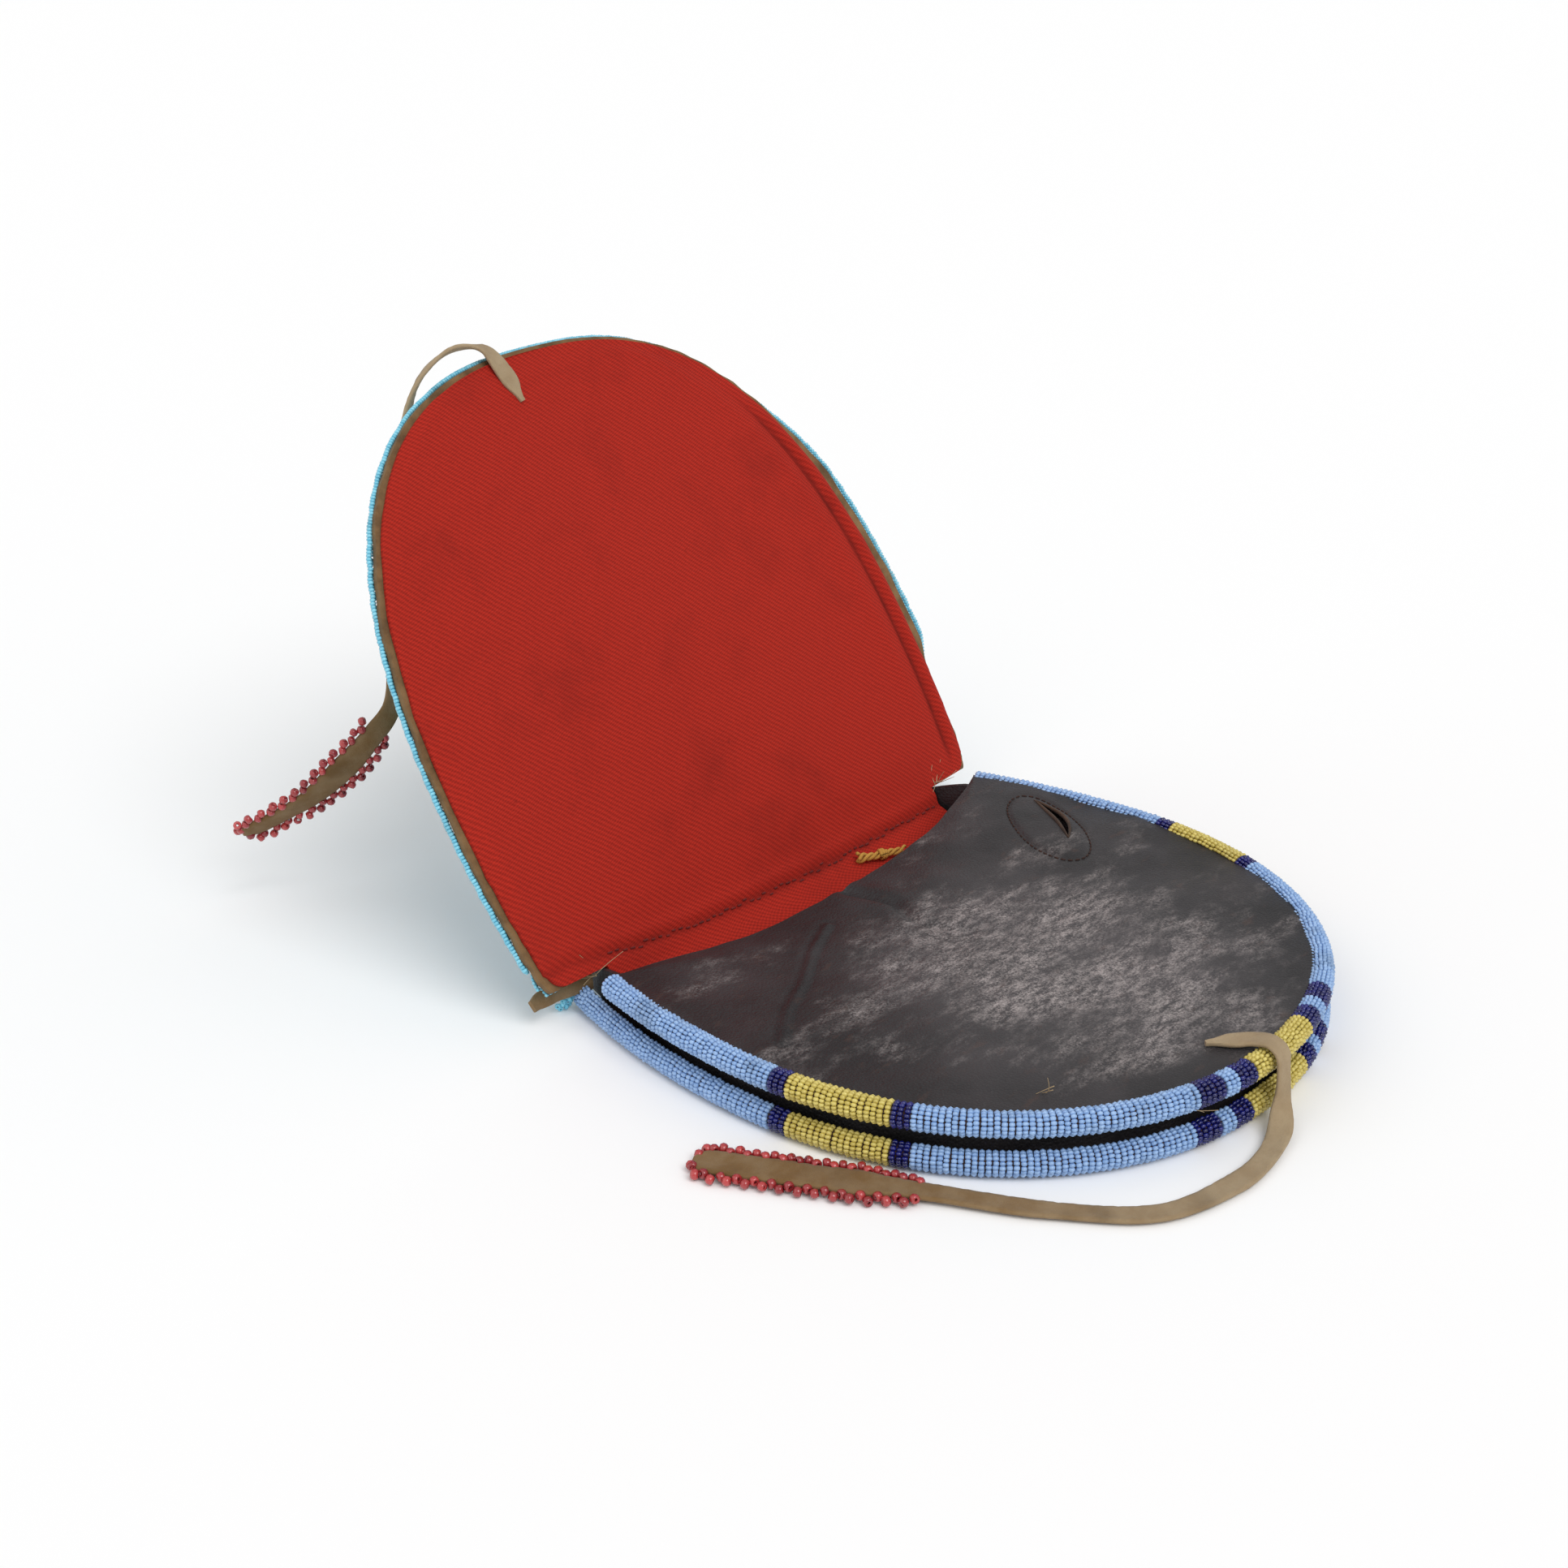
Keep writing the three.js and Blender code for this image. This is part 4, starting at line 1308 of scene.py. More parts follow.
    def _cut(self, panel: bpy.types.Object) -> None:
        """Cuts the crescent slit through the panel.

        Args:
            panel: The panel.
        """
        deep, shallow = self.slit_sides()
        ring = np.vstack([deep, shallow[-2:0:-1]])
        low = np.hstack([ring, np.full((len(ring), 1), self.level - 6)])
        high = np.hstack([ring, np.full((len(ring), 1), self.level + 6)])
        cutter = outward(mesh_object("slit_cutter", *loft(np.stack([low, high]))))
        cut = panel.modifiers.new("slit", "BOOLEAN")
        cut.object = cutter
        cut.operation = "DIFFERENCE"
        cut.solver = "EXACT"
        graph = bpy.context.evaluated_depsgraph_get()
        graph.update()
        done = bpy.data.meshes.new_from_object(panel.evaluated_get(graph))
        panel.modifiers.clear()
        panel.data = done
        bpy.data.objects.remove(cutter)

    def _stitches(self) -> bpy.types.Object:
        """Sews the oval with small dark stitches.

        Returns:
            The stitches.
        """
        turn = np.linspace(0, 2 * math.pi, 400)
        ring = self.from_oval(self.oval[0] * np.cos(turn), self.oval[1] * np.sin(turn))
        count = int(run_length(ring) / self.stitch_pitch)
        spots = spaced(ring, (np.arange(count) + 0.5) * run_length(ring) / count)
        along = np.hstack([tangents(spots), np.zeros((count, 1))])
        centres = np.hstack([spots, (self.level + self.relief(spots) + 0.16)[:, None]])
        out = np.broadcast_to(UP, centres.shape)
        stitches = string_beads(STITCH, centres, along, out, self.stitch_radius, self.stitch_length)
        return mesh_object("oval_stitches", *stitches)

    def _lips(self) -> bpy.types.Object:
        """Rolls the slit's worn edges over.

        Returns:
            The two lips as one piece.
        """
        parts = []
        for line in self.slit_sides():
            lift = self.level + self.relief(line) + 0.1
            spots = np.hstack([line, lift[:, None]])
            thin = 0.25 + 0.5 * np.sin(np.linspace(0.05, math.pi - 0.05, len(line)))
            parts.append(tube(spots, thin, 8))
        return mesh_object("slit_lips", *joined(parts))


@dataclass
class Gusset:
    """The leather wall between the two rims, bowed in a little."""

    inset: float = 4.4
    thickness: float = 1.4
    bottom: float = 3.4
    top: float = 17.7
    lowest: float = 10.0
    past_rim: float = 1.6
    bow: float = 1.1
    stations: int = 260
    levels: int = 9

    def build(self, finishes: Finishes) -> None:
        """Makes the wall.

        Args:
            finishes: Materials.
        """
        outline = POUCH.line(BACK_END - self.past_rim, self.inset)
        places = np.linspace(0, run_length(outline), self.stations)
        flat = spaced(outline, places)
        way = tangents(flat)
        inward = np.stack([-way[:, 1], way[:, 0]], axis=1)
        slope = np.clip((flat[:, 1] - BACK_END) / (FRONT_END - BACK_END), 0, 1)
        crown = self.lowest + (self.top - self.lowest) * slope**0.6
        share = np.linspace(0, 1, self.levels)
        height = self.bottom + share[None] * (crown - self.bottom)[:, None]
        wrinkle = 0.25 * np.sin(places / 5.1)[:, None] * np.sin(math.pi * share)[None]
        push = self.bow * np.sin(math.pi * share)[None] * slope[:, None] + wrinkle + 0.25

        def wall(depth: Any) -> np.ndarray:
            """Gives one face of the wall."""
            moved = flat[:, None] + (depth[..., None]) * inward[:, None]
            return np.concatenate([moved * [1, -1], height[..., None]], axis=-1)

        skin = shell(wall(push), wall(push + self.thickness))
        piece = outward(mesh_object("gusset_leather", *skin, sharp=60))
        dress(piece, finishes.leather, POUCH_BODY)
        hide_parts("gusset")


@dataclass
class BeadedRim:
    """One rolled edge, wound with rows of seed beads in runs of colour."""

    name: str
    start: float
    level: float
    side: int
    seed: int
    radius: float = 4.1
    bead_radius: float = 0.95
    bead_length: float = 1.2
    beads_in_row: int = 12
    first_turn: float = 143.0
    runs: tuple = (
        (Slot.YELLOW, 17), (Slot.NAVY, 4), (Slot.BLUE, 3), (Slot.NAVY, 5), (Slot.BLUE, 44),
        (Slot.NAVY, 3), (Slot.YELLOW, 17), (Slot.NAVY, 3), (Slot.BLUE, 999),
    )

    def build(self, finishes: Finishes) -> None:
        """Makes the core and one piece of beads for each run.

        Args:
            finishes: Materials.
        """
        outline = POUCH.line(self.start)
        total = run_length(outline)
        core = np.hstack([
            spaced(outline, np.linspace(0.6, total - 0.6, 200)) * [1, -1],
            np.full((200, 1), self.level),
        ])
        roll = mesh_object(self.name + "_core", *tube(core, self.radius - 1.15, 10))
        dress(outward(roll), finishes.stitch, POUCH_BODY)
        half = int((total / 2 - BEAD_ROW / 2) / BEAD_ROW)
        rows = np.arange(-half, half + 1)
        places = total / 2 + rows * BEAD_ROW
        rng = np.random.default_rng(self.seed)
        bands = self._bands(np.abs(rows))
        number = 0
        start = 0
        while start < len(rows):
            end = start
            while end < len(rows) and bands[end] == bands[start]:
                end += 1
            number += 1
            slot = self._slot(bands[start])
            colour = slot.value.split("_")[0]
            piece = self._run(f"{self.name}_beads_{number:02d}_{colour}", outline, places[start:end], rng)
            dress(piece, finishes.beads[slot], POUCH_BODY)
            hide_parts(f"{self.name}_{number:02d}_{colour}")
            start = end

    def _bands(self, away: np.ndarray) -> np.ndarray:
        """Gives the number of the run that each row belongs to, from its distance to the tip."""
        ends, reach = [], -(self.runs[0][1] + 1) / 2
        for order, (_, count) in enumerate(self.runs):
            reach += count + (1 if order == 0 else 0)
            ends.append(reach if order else self.runs[0][1] / 2)
            reach = ends[-1]
        return np.searchsorted(np.array(ends), away, side="left")

    def _slot(self, band: int) -> Slot:
        """Gives the colour of a run."""
        return self.runs[int(band)][0]

    def _run(
        self, name: str, outline: np.ndarray, places: np.ndarray, rng: np.random.Generator
    ) -> bpy.types.Object:
        """Winds the rows of one run round the roll.

        Args:
            name: Name of the piece.
            outline: Line of the roll.
            places: Distance of each row along it.
            rng: Random numbers.

        Returns:
            The beads.
        """
        places = places + rng.normal(0, 0.07, len(places))
        flat = spaced(outline, places)
        way = spaced(outline, places + 0.5) - spaced(outline, places - 0.5)
        way = unit(way) * [1, -1]
        along = np.hstack([way, np.zeros((len(way), 1))])
        out = np.cross(UP, along)
        middle = np.hstack([flat * [1, -1], np.full((len(flat), 1), self.level)])
        reach = self.radius - self.bead_radius
        step = self.bead_length / reach
        turn = math.radians(self.first_turn) - step * np.arange(self.beads_in_row)
        row_slip = rng.normal(0, 0.045, (len(places), 1))
        bead_slip = rng.normal(0, 0.012, (len(places), self.beads_in_row))
        turn = self.side * (turn[None] + row_slip + bead_slip)
        radial = np.cos(turn)[..., None] * out[:, None] + np.sin(turn)[..., None] * UP
        round_ = -np.sin(turn)[..., None] * out[:, None] + np.cos(turn)[..., None] * UP
        lift = reach + rng.normal(0, 0.06, turn.shape)
        slide = rng.normal(0, 0.05, turn.shape)
        centres = middle[:, None] + lift[..., None] * radial + slide[..., None] * along[:, None]
        count = turn.size
        size = self.bead_radius * np.clip(rng.normal(1.0, 0.035, count), 0.9, 1.06)
        long = self.bead_length * np.clip(rng.normal(0.97, 0.05, count), 0.85, 1.08)
        spots, axes, outs = (part.reshape(-1, 3) for part in (centres, round_, radial))
        return mesh_object(name, *string_beads(BeadShape(), spots, axes, outs, size, long))


# Flap


@dataclass
class FlapSheet:
    """A sheet that lies in the mouth, turns up round the bend and runs to the flap's tip."""

    name: str
    depth: float
    thickness: float
    margin: float
    tail: float
    face_level: float = 6.9
    bend: float = 9.7
    spine_half_width: float = 87.27
    corner: float = 6.0
    base: float = -8.0
    right_spare: float = 0.0
    columns: int = 120

    def bend_middle(self) -> np.ndarray:
        """Gives the middle of the bend as (y, z)."""
        rise = (HINGE_Z - self.face_level) / math.sin(TILT)
        turn = self.bend * math.tan(TILT / 2)
        return np.array([HINGE_BACK - rise * math.cos(TILT) - turn, self.face_level + self.bend])

    def bend_top(self) -> float:
        """Gives the height up the flap at which the bend ends."""
        rise = (HINGE_Z - self.face_level) / math.sin(TILT)
        return self.bend * math.tan(TILT / 2) - rise

    def at(self, across: Any, up: Any, out: Any) -> np.ndarray:
        """Places points on the sheet, down through the bend and into the mouth.

        Args:
            across: Place along the hinge.
            up: Distance along the sheet from the hinge.
            out: Height out of the lining's face.

        Returns:
            Points in the sewing frame.
        """
        across, up, out = np.broadcast_arrays(*(np.asarray(v, dtype=float) for v in (across, up, out)))
        top = self.bend_top()
        middle = self.bend_middle()
        angle = np.clip(TILT + (np.minimum(up, top) - top) / self.bend, 0.0, TILT)
        reach = self.bend - out
        past = np.minimum(up - (top - self.bend * TILT), 0.0)
        y = middle[0] + reach * np.sin(angle) + past
        z = middle[1] - reach * np.cos(angle)
        low = np.stack([across, y, z], axis=-1)
        return np.where((up > top)[..., None], on_flap(across, up, out), low)

    def foot(self) -> float:
        """Gives the distance along the sheet at its tail."""
        return self.bend_top() - self.bend * TILT - (self.tail + self.bend_middle()[0])

    def rows(self) -> tuple[np.ndarray, np.ndarray]:
        """Gives the distance and the half width of each row of the sheet.

        Returns:
            Distances along the sheet, and half widths.
        """
        top = self.bend_top()
        spine = np.concatenate([
            np.linspace(self.foot(), top - self.bend * TILT, 8, endpoint=False),
            np.linspace(top - self.bend * TILT, self.base - 0.6, 14),
        ])
        turn = np.linspace(0, math.pi / 2, 8, endpoint=False)
        corner_up = self.base - self.margin + self.corner * (1 - np.cos(turn))
        corner_half = FLAP.half_at(self.base) + self.margin - self.corner * (1 - np.sin(turn))
        side = np.linspace(self.base - self.margin + self.corner, FLAP.widest, 30, endpoint=False)
        end = np.linspace(0, math.pi / 2 * 0.993, 80)
        power = 2 / FLAP.fullness
        end_up = FLAP.widest + (FLAP.length + self.margin - FLAP.widest) * np.sin(end) ** power
        end_half = (FLAP.half_width + self.margin) * np.cos(end) ** power
        up = np.concatenate([spine, np.maximum(corner_up, self.base - 0.1), side, end_up])
        half = np.concatenate([
            np.full(len(spine), self.spine_half_width),
            corner_half,
            FLAP.half_at(side) + self.margin,
            end_half,
        ])
        return up, half

    def build(
        self, material: bpy.types.Material, slot: Slot, relief: Callable, waver: float, seed: int
    ) -> bpy.types.Object:
        """Makes the sheet and bakes its transform into its mesh.

        Args:
            material: Its material.
            slot: Its slot; not used.
            relief: Gives heights from places across and up, and the half width there.
            waver: How much the cut edge wanders.
            seed: Seed of the wandering.

        Returns:
            The sheet.
        """
        up, half = self.rows()
        rng = np.random.default_rng(seed)
        wander = np.interp(np.arange(len(up)), np.linspace(0, len(up), 60), rng.normal(0, waver, 60))
        share = np.linspace(-1, 1, self.columns)
        share = np.sign(share) * (1 - (1 - np.abs(share)) ** 1.25)
        across = share[None] * (half + wander * (up > 0))[:, None]
        across = across + (self.right_spare * right_curl(up))[:, None] * smooth(share, 0.9, 1.0)[None]
        height = relief(across, up[:, None], half[:, None])
        top = self.at(across, up[:, None], -self.depth + height)
        bottom = self.at(across, up[:, None], -self.depth - self.thickness + 0.55 * height)
        sheet = outward(mesh_object(self.name, *shell(top, bottom), sharp=60))
        # Painted shade: how far the relief dips below the face is kept as a mask that darkens the wool's
        # colour in the grooves.
        soil_and_groove_shade = np.clip(-height, 0, 1).ravel()
        groove_shade_layer = sheet.data.attributes.new("soil_and_groove_shade", "FLOAT", "POINT")
        groove_shade_layer.data.foreach_set("value", np.concatenate([soil_and_groove_shade, soil_and_groove_shade]).astype(np.float32))
        dress(sheet, material, None)
        bend_at_hinge(sheet)
        return sheet

    def area(self) -> float:
        """Gives the sheet's flat area in square metres."""
        up, half = self.rows()
        return float(np.sum((half[1:] + half[:-1]) * np.diff(up))) * MM * MM


def bend_at_hinge(piece: bpy.types.Object) -> None:
    """Bakes a piece's transform into its mesh."""
    tuple(placed(on_flap(0, -16.0, 0)))
    tuple(placed(on_flap(0, 0.0, 0)))
    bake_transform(piece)


def right_curl(up: Any) -> np.ndarray:
    """Gives where the hide stands past the lining on the right side, from 0 to 1."""
    return smooth(up, 30.0, 48.0) * (1 - smooth(up, 112.0, 166.0))


def seam_height(across: Any) -> np.ndarray:
    """Gives how far up the lining the dark seam by the hinge runs."""
    return np.interp(across, (-101.0, -78.0, -49.0, 12.0, 84.0), (-2.5, -6.5, -10.5, -14.4, -15.2))


@dataclass
class Flap:
    """The flap: red wool lining on buckskin, with lanes of beads on its outer face."""

    lane: float = 8.0
    beads_in_lane: int = 7
    bead_radius: float = 0.93
    valley: float = 1.1
    crest: float = 1.9
    hide_back: float = -3.5
    bead_margin: float = 2.6
    string_pitch: float = 1.86
    right_spare: float = 7.2
    stitch_radius: float = 0.38
    seam_seed: int = 43
    bead_seed: int = 44
    pieces: int = 3
    stitch_pitch: float = 3.1

    def build(self, finishes: Finishes) -> None:
        """Makes the sheets, the beadwork and the seam.

        Args:
            finishes: Materials.
        """
        hide = FlapSheet("flap_buckskin", depth=1.5, thickness=2.0, margin=1.8, tail=22.0, right_spare=3.7)
        skin = hide.build(finishes.buckskin, Slot.BUCKSKIN, self._hide_relief, 0.35, 41)
        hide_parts("flap_hide", "spine_hide")
        lining = FlapSheet("wool_lining", depth=0.0, thickness=1.2, margin=0.0, tail=30.0)
        cloth = lining.build(finishes.wool, Slot.WOOL, self._wool_relief, 0.25, 42)
        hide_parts("flap_lining", "mouth_lining")
        seam = self._seam(lining)
        dress(seam, finishes.seam, None)
        bend_at_hinge(seam)
        hide.area()
        lining.area()
        for sheet in (hide, lining):
            LOG.info("%s %.1f mm long", sheet.name, FLAP.length - sheet.foot())
        self._beadwork(finishes)

    @staticmethod
    def _wool_relief(across: np.ndarray, up: np.ndarray, half: np.ndarray) -> np.ndarray:
        """Gives the padded face, the turned hem and the groove of the seam."""
        away = half - across
        other = half + across
        end = FLAP.length - up
        flap = smooth(up, -8.0, 8.0)
        puff = smooth(away, 6.5, 15.0) * smooth(other, 1.5, 7.0) * smooth(end, 2.0, 9.0)
        hem = (1.3 * bell(away - 2.6, 2.2) - 1.05 * bell(away - 6.4, 1.5)) * (1 - smooth(up, 130.0, 160.0))
        ridge = 0.5 * bell(away - 15.0, 4.5) * smooth(up, 0.0, 25.0) * (1 - smooth(up, 120.0, 150.0))
        waves = 0.35 * np.sin(across / 21.0 + up / 37.0) + 0.25 * np.sin(across / 11.0 - up / 17.0 + 1.3)
        turned = 0.35 * bell(other - 2.2, 1.6)
        groove = -0.55 * bell(up - seam_height(across), 1.6) + 0.5 * bell(up - seam_height(across) - 4.0, 2.2)
        return flap * (0.9 * puff + hem + ridge + turned + waves * puff) + groove

    @staticmethod
    def _hide_relief(across: np.ndarray, up: np.ndarray, half: np.ndarray) -> np.ndarray:
        """Gives the hide's slightly wavy edge."""
        edge = bell(half - np.abs(across), 3.0)
        return edge * (0.2 * np.sin(up / 6.3) + 0.15 * np.sin(up / 2.9 + across))

    def _seam(self, lining: FlapSheet) -> bpy.types.Object:
        """Sews the dark seam along the hinge.

        Args:
            lining: The sheet that it is sewn on.

        Returns:
            The stitches.
        """
        across = np.arange(-84.0, 84.0, self.stitch_pitch)
        rng = np.random.default_rng(self.seam_seed)
        up = seam_height(across) + rng.normal(0, 0.55, len(across))
        spots = lining.at(across, up, -0.2)
        here, there = (lining.at(x, seam_height(x), -0.2) for x in (across, across + 1.0))
        ahead = there - here
        out = lining.at(across, up, 1.0) - lining.at(across, up, 0.0)
        long = rng.uniform(1.3, 2.3, len(across))
        return mesh_object("hinge_seam", *string_beads(STITCH, spots, ahead, out, self.stitch_radius, long))

    def _beadwork(self, finishes: Finishes) -> None:
        """Sews lanes of turquoise beads over the hide, with a row round its edge.

        Args:
            finishes: Materials.
        """
        rng = np.random.default_rng(self.bead_seed)
        edge_gap = 0.55
        tip = FLAP.length + self.bead_margin
        lanes = int(math.ceil((tip - FLAP.base) / self.lane))
        spots: list[np.ndarray] = []
        for lane in range(lanes):
            foot = FLAP.base + lane * self.lane
            middle = min(foot + self.lane / 2, tip - 1)
            widest = float(FLAP.half_at(np.linspace(foot, middle, 5)).max())
            reach = widest + self.bead_margin + self.right_spare
            count = int(2 * reach / self.string_pitch) + 1
            across = (np.arange(count) - (count - 1) / 2) * self.string_pitch + rng.normal(0, 0.1, count)
            sway = 0.35 * np.sin(across / 13 + lane) + rng.normal(0, 0.08, count)
            share = (np.arange(self.beads_in_lane) + 0.5) / self.beads_in_lane
            up = foot + share[None] * self.lane + sway[:, None]
            hump = self.valley + (self.crest - self.valley) * np.sin(math.pi * share)
            out = self.hide_back - 0.3 - hump[None] + self.bead_radius + rng.normal(0, 0.05, up.shape)
            wide = np.broadcast_to(across[:, None], up.shape)
            limit = FLAP.half_at(np.maximum(up, FLAP.base)) + self.bead_margin - edge_gap
            limit = limit + self.right_spare * right_curl(up) * (wide > 0)
            end = FLAP.length + self.bead_margin - edge_gap
            keep = (np.abs(wide) < limit) & (up < end) & (up > FLAP.base)
            lean = np.broadcast_to(np.cos(math.pi * share)[None], up.shape)
            spots.append(np.stack([wide, up, out, lean], axis=-1)[keep])
        others = np.array_split(np.array(spots[1:], dtype=object), self.pieces)
        groups = [spots[:1]] + [list(part) for part in others]
        slot = Slot.TURQUOISE
        for order, group in enumerate(groups):
            rows = np.vstack([np.asarray(part, dtype=float) for part in group])
            hump = (self.crest - self.valley) * math.pi / self.lane
            along = UP_FLAP[None] - (rows[:, 3:] * hump) * FLAP_FACE[None]
            out = np.broadcast_to(-FLAP_FACE, along.shape)
            size = self.bead_radius * np.clip(rng.normal(1, 0.035, len(rows)), 0.9, 1.06)
            long = self.lane / self.beads_in_lane * np.clip(rng.normal(0.98, 0.05, len(rows)), 0.85, 1.1)
            points = on_flap(rows[:, 0], rows[:, 1], rows[:, 2])
            name = "lane_beads_hinge" if order == 0 else f"lane_beads_{order}"
            piece = mesh_object(name, *string_beads(LANE_BEAD, points, along, out, size, long))
            dress(piece, finishes.beads[slot], None if order == 0 else FLAP_BODY)
            if order == 0:
                bend_at_hinge(piece)
        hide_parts("flap_beadwork")
        self._edge_row(finishes, rng)

    def _edge_row(self, finishes: Finishes, rng: np.random.Generator) -> None:
        """Runs one string of whole beads round the edge of the hide.

        Args:
            finishes: Materials.
            rng: Random numbers.
        """
        outline = FLAP.line(FLAP.base + 8.5, -self.bead_margin + 0.35)
        pitch = self.lane / self.beads_in_lane
        count = int(run_length(outline) / pitch)
        parts = []
        for order, out in enumerate((-4.15, -5.0)):
            places = (np.arange(count) + 0.5 * order + 0.25) * run_length(outline) / (count + 1)
            flat = spaced(outline, places)
            way = tangents(flat)
            scallop = 0.35 * np.abs(np.sin(math.pi * (flat[:, 1] - FLAP.base) / self.lane))
            side = np.stack([way[:, 1], -way[:, 0]], axis=1)
            spare = self.right_spare * right_curl(flat[:, 1]) * (flat[:, 0] > 0)
            flat = flat + side * (scallop + spare - 0.6 * order)[:, None]
            centres = on_flap(flat[:, 0], flat[:, 1], out + rng.normal(0, 0.08, count))
            along = on_flap(way[:, 0], way[:, 1], 0) - on_flap(0, 0, 0)
            size = self.bead_radius * np.clip(rng.normal(0.98, 0.035, count), 0.9, 1.05)
            outs = np.broadcast_to(-FLAP_FACE, along.shape)
            parts.append(string_beads(BeadShape(), centres, along, outs, size, pitch * 0.97))
        piece = mesh_object("flap_edge_beads", *joined(parts))
        dress(piece, finishes.beads[Slot.TURQUOISE], FLAP_BODY)


# Small trim


@dataclass
class CornerTrim:
    """The hide stub, the bead cluster and the loose sinew at the hinge corners."""

    corner: tuple = (-93.37, 6.0)
    stub_level: float = 8.78
    stub_half_width: float = 3.0
    stub_offsets: tuple = (
        (3.5, 1.3), (-1.0, 2.6), (-5.0, 3.5), (-9.0, 4.6), (-13.0, 5.0), (-16.0, 5.9), (-19.0, 5.5),
    )
    bead_radius: float = 1.0
    bead_length: float = 1.35
    cluster_seed: int = 51
    fibre_seed: int = 52
    tufts: tuple = (
        ((-90.5, 5.5, 12.0), 7, 9.0), ((90.0, 3.0, 15.5), 6, 8.0),
        ((-68.0, -151.0, 21.0), 3, 5.5), ((-40.0, -178.5, 12.5), 3, 8.0),
    )

    def build(self, finishes: Finishes) -> None:
        """Makes the stub, the beads and the fibres.

        Args:
            finishes: Materials.
        """
        flat = np.array(self.corner) + np.array(self.stub_offsets)
        line = catmull(np.hstack([flat, np.full((len(flat), 1), self.stub_level)]), 8)
        line[:, 2] += -1.2 * smooth(np.arange(len(line)), 20, len(line)) ** 2
        stub = outward(mesh_object("corner_stub", *loft(self._section(line)), sharp=70))
        tone = stub.data.attributes.new("tone", "FLOAT", "POINT")
        tone.data.foreach_set("value", np.full(len(stub.data.vertices), 0.75, dtype=np.float32))
        dress(stub, finishes.thong, POUCH_BODY)
        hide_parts("corner_thong")
        beads = self._cluster()
        dress(beads, finishes.beads[Slot.TURQUOISE], POUCH_BODY)
        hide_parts("corner_beads")
        dress(self._fibres(), finishes.sinew, POUCH_BODY)

    def _section(self, line: np.ndarray) -> np.ndarray:
        """Gives the rings of the upright stub, which curls a little.

        Args:
            line: Centre line.

        Returns:
            Rings of points.
        """
        along = tangents(line)
        side = unit(np.cross(UP, along))
        share = np.linspace(0, 1, len(line))
        lean = np.radians(8 + 30 * share)
        tall = np.cos(lean)[:, None] * UP - np.sin(lean)[:, None] * side
        thick = np.cross(along, tall)
        half = self.stub_half_width * (0.95 - 0.3 * smooth(share, 0.75, 1.0))
        pattern = np.array([
            (-1, -0.3), (-0.9, -0.7), (0.9, -0.7), (1, -0.3), (1, 0.3), (0.9, 0.7), (-0.9, 0.7), (-1, 0.3),
        ])
        return (
            line[:, None]
            + (half[:, None] * pattern[None, :, 0])[..., None] * tall[:, None]
            + pattern[None, :, 1:2] * thick[:, None]
        )

    def _cluster(self) -> bpy.types.Object:
        """Piles turquoise beads below the stub.

        Returns:
            The beads.
        """
        rng = np.random.default_rng(self.cluster_seed)
        spots = np.array([
            (-2.6, 6.0, 1.4), (-4.4, 5.6, 1.3), (-6.3, 5.9, 1.2), (-2.4, 5.2, 3.0), (-4.1, 4.8, 3.1),
            (-5.9, 5.0, 2.9), (-2.8, 4.4, 4.6), (-4.5, 4.1, 4.7), (-6.2, 4.5, 4.5), (-7.6, 5.7, 2.3),
            (-3.4, 7.2, 1.2), (-5.4, 7.2, 1.2), (-2.2, 4.0, 6.2), (-3.9, 3.8, 6.3),
        ])
        centres = spots + np.array([*self.corner, 0.0]) + rng.normal(0, 0.12, spots.shape)
        axis = unit(rng.normal(0, 1, spots.shape) * [1, 1, 0.5])
        out = np.cross(axis, unit(rng.normal(0, 1, spots.shape)))
        beads = string_beads(CLUSTER_BEAD, centres, axis, out, self.bead_radius, self.bead_length)
        return mesh_object("corner_bead_cluster", *beads)

    def _fibres(self) -> bpy.types.Object:
        """Frays the threads at both hinge corners and on the rims.

        Returns:
            The fibres as one piece.
        """
        rng = np.random.default_rng(self.fibre_seed)
        ends = [(start, long) for start, count, long in self.tufts for _ in range(count)]
        parts = []
        for start, long in ends:
            way = unit(rng.normal(0, 1, 3) * [1, 1, 0.6] + [-0.6 * np.sign(-start[0]), -0.3, 0.3])
            bend = rng.normal(0, 0.5, 3)
            share = np.linspace(0, 1, 9)[:, None]
            line = np.array(start) + rng.normal(0, 0.8, 3) + long * (share * way + share**2 * bend * 0.6)
            line[:, 2] = np.maximum(line[:, 2], 0.6)
            parts.append(tube(line, np.linspace(0.16, 0.07, 9), 5))
        return mesh_object("loose_sinew_ends", *joined(parts))


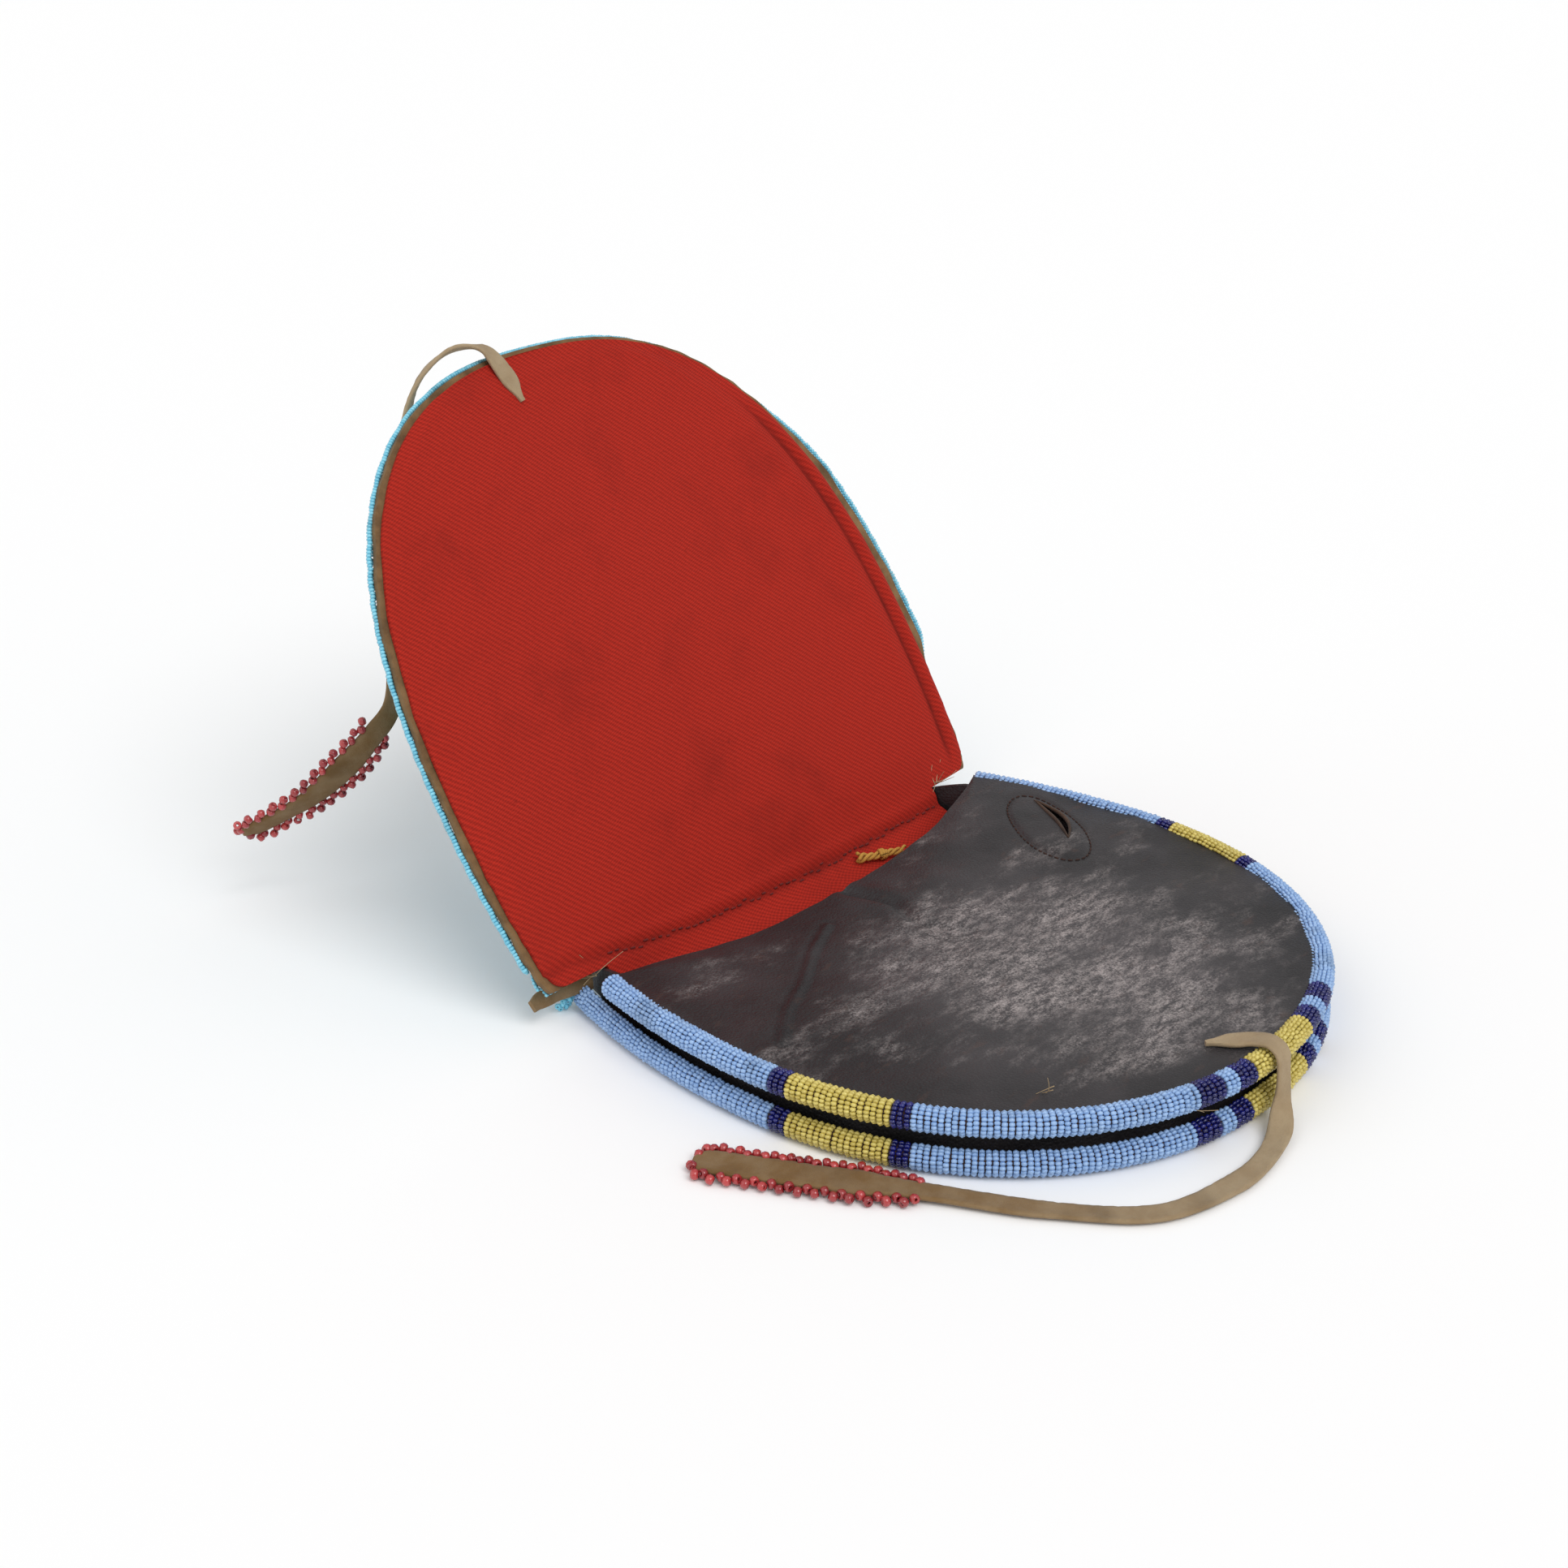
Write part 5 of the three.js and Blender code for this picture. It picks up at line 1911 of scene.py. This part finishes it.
@dataclass
class YarnKnot:
    """The loose knot of mustard yarn in the mouth."""

    route: tuple = ((32.0, -5.5), (37.0, -9.0), (43.0, -11.5), (48.0, -15.0))
    level: float = 9.3
    strand: float = 0.72
    strands: int = 3
    wind: float = 0.85

    def build(self, finishes: Finishes) -> None:
        """Makes the twisted strands and the knot.

        Args:
            finishes: Materials.
        """
        flat = np.array(self.route)
        line = catmull(np.hstack([flat, np.full((len(flat), 1), self.level)]), 20)
        along = tangents(line)
        side = unit(np.cross(along, UP))
        up = np.cross(side, along)
        share = np.linspace(0, 1, len(line))
        parts = []
        for strand in range(self.strands):
            turn = 2 * math.pi * (strand / self.strands + 2.4 * share)
            spread = self.wind * (1 + 0.9 * smooth(np.abs(share - 0.5), 0.3, 0.5))
            off = np.cos(turn)[:, None] * side + np.sin(turn)[:, None] * up
            parts.append(tube(line + spread[:, None] * off, self.strand * (1 - 0.25 * share), 7))
        middle = len(line) // 2
        turn = np.linspace(0, 2 * math.pi * 2.2, 60)
        coil = (
            line[middle]
            + 1.5 * (np.cos(turn)[:, None] * side[middle] + np.sin(turn)[:, None] * up[middle])
            + (np.linspace(-1.1, 1.1, 60))[:, None] * along[middle]
        )
        parts.append(tube(coil, self.strand, 7))
        knot = mesh_object("mustard_yarn_knot", *joined(parts))
        dress(knot, finishes.yarn, POUCH_BODY)
        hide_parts("yarn_knot")


def dress_cad(finishes: Finishes) -> None:
    """Gives the CAD nodes that stay their leather.

    Args:
        finishes: Materials.
    """
    for name in ("back_panel", "slit_facing"):
        node = frame["nodes"][name]
        node.data.materials.clear()
        node.data.materials.append(finishes.leather)
        LOG.info("%s: carried over", name)


def main() -> None:
    """Builds the pouch in order."""
    logging.basicConfig(level=logging.INFO, format="%(message)s")
    PhotoCamera().build()
    finishes = Finishes()
    FRONT_THONG.build(finishes)
    FLAP_THONG.build(finishes)
    FrontPanel().build(finishes)
    Gusset().build(finishes)
    BeadedRim("front_rim", FRONT_END, FRONT_RIM_Z, 1, 61).build(finishes)
    BeadedRim("back_rim", BACK_END, BACK_RIM_Z, -1, 62).build(finishes)
    Flap().build(finishes)
    CornerTrim().build(finishes)
    YarnKnot().build(finishes)
    dress_cad(finishes)
    Studio().build()


if __name__ == "__main__":
    main()
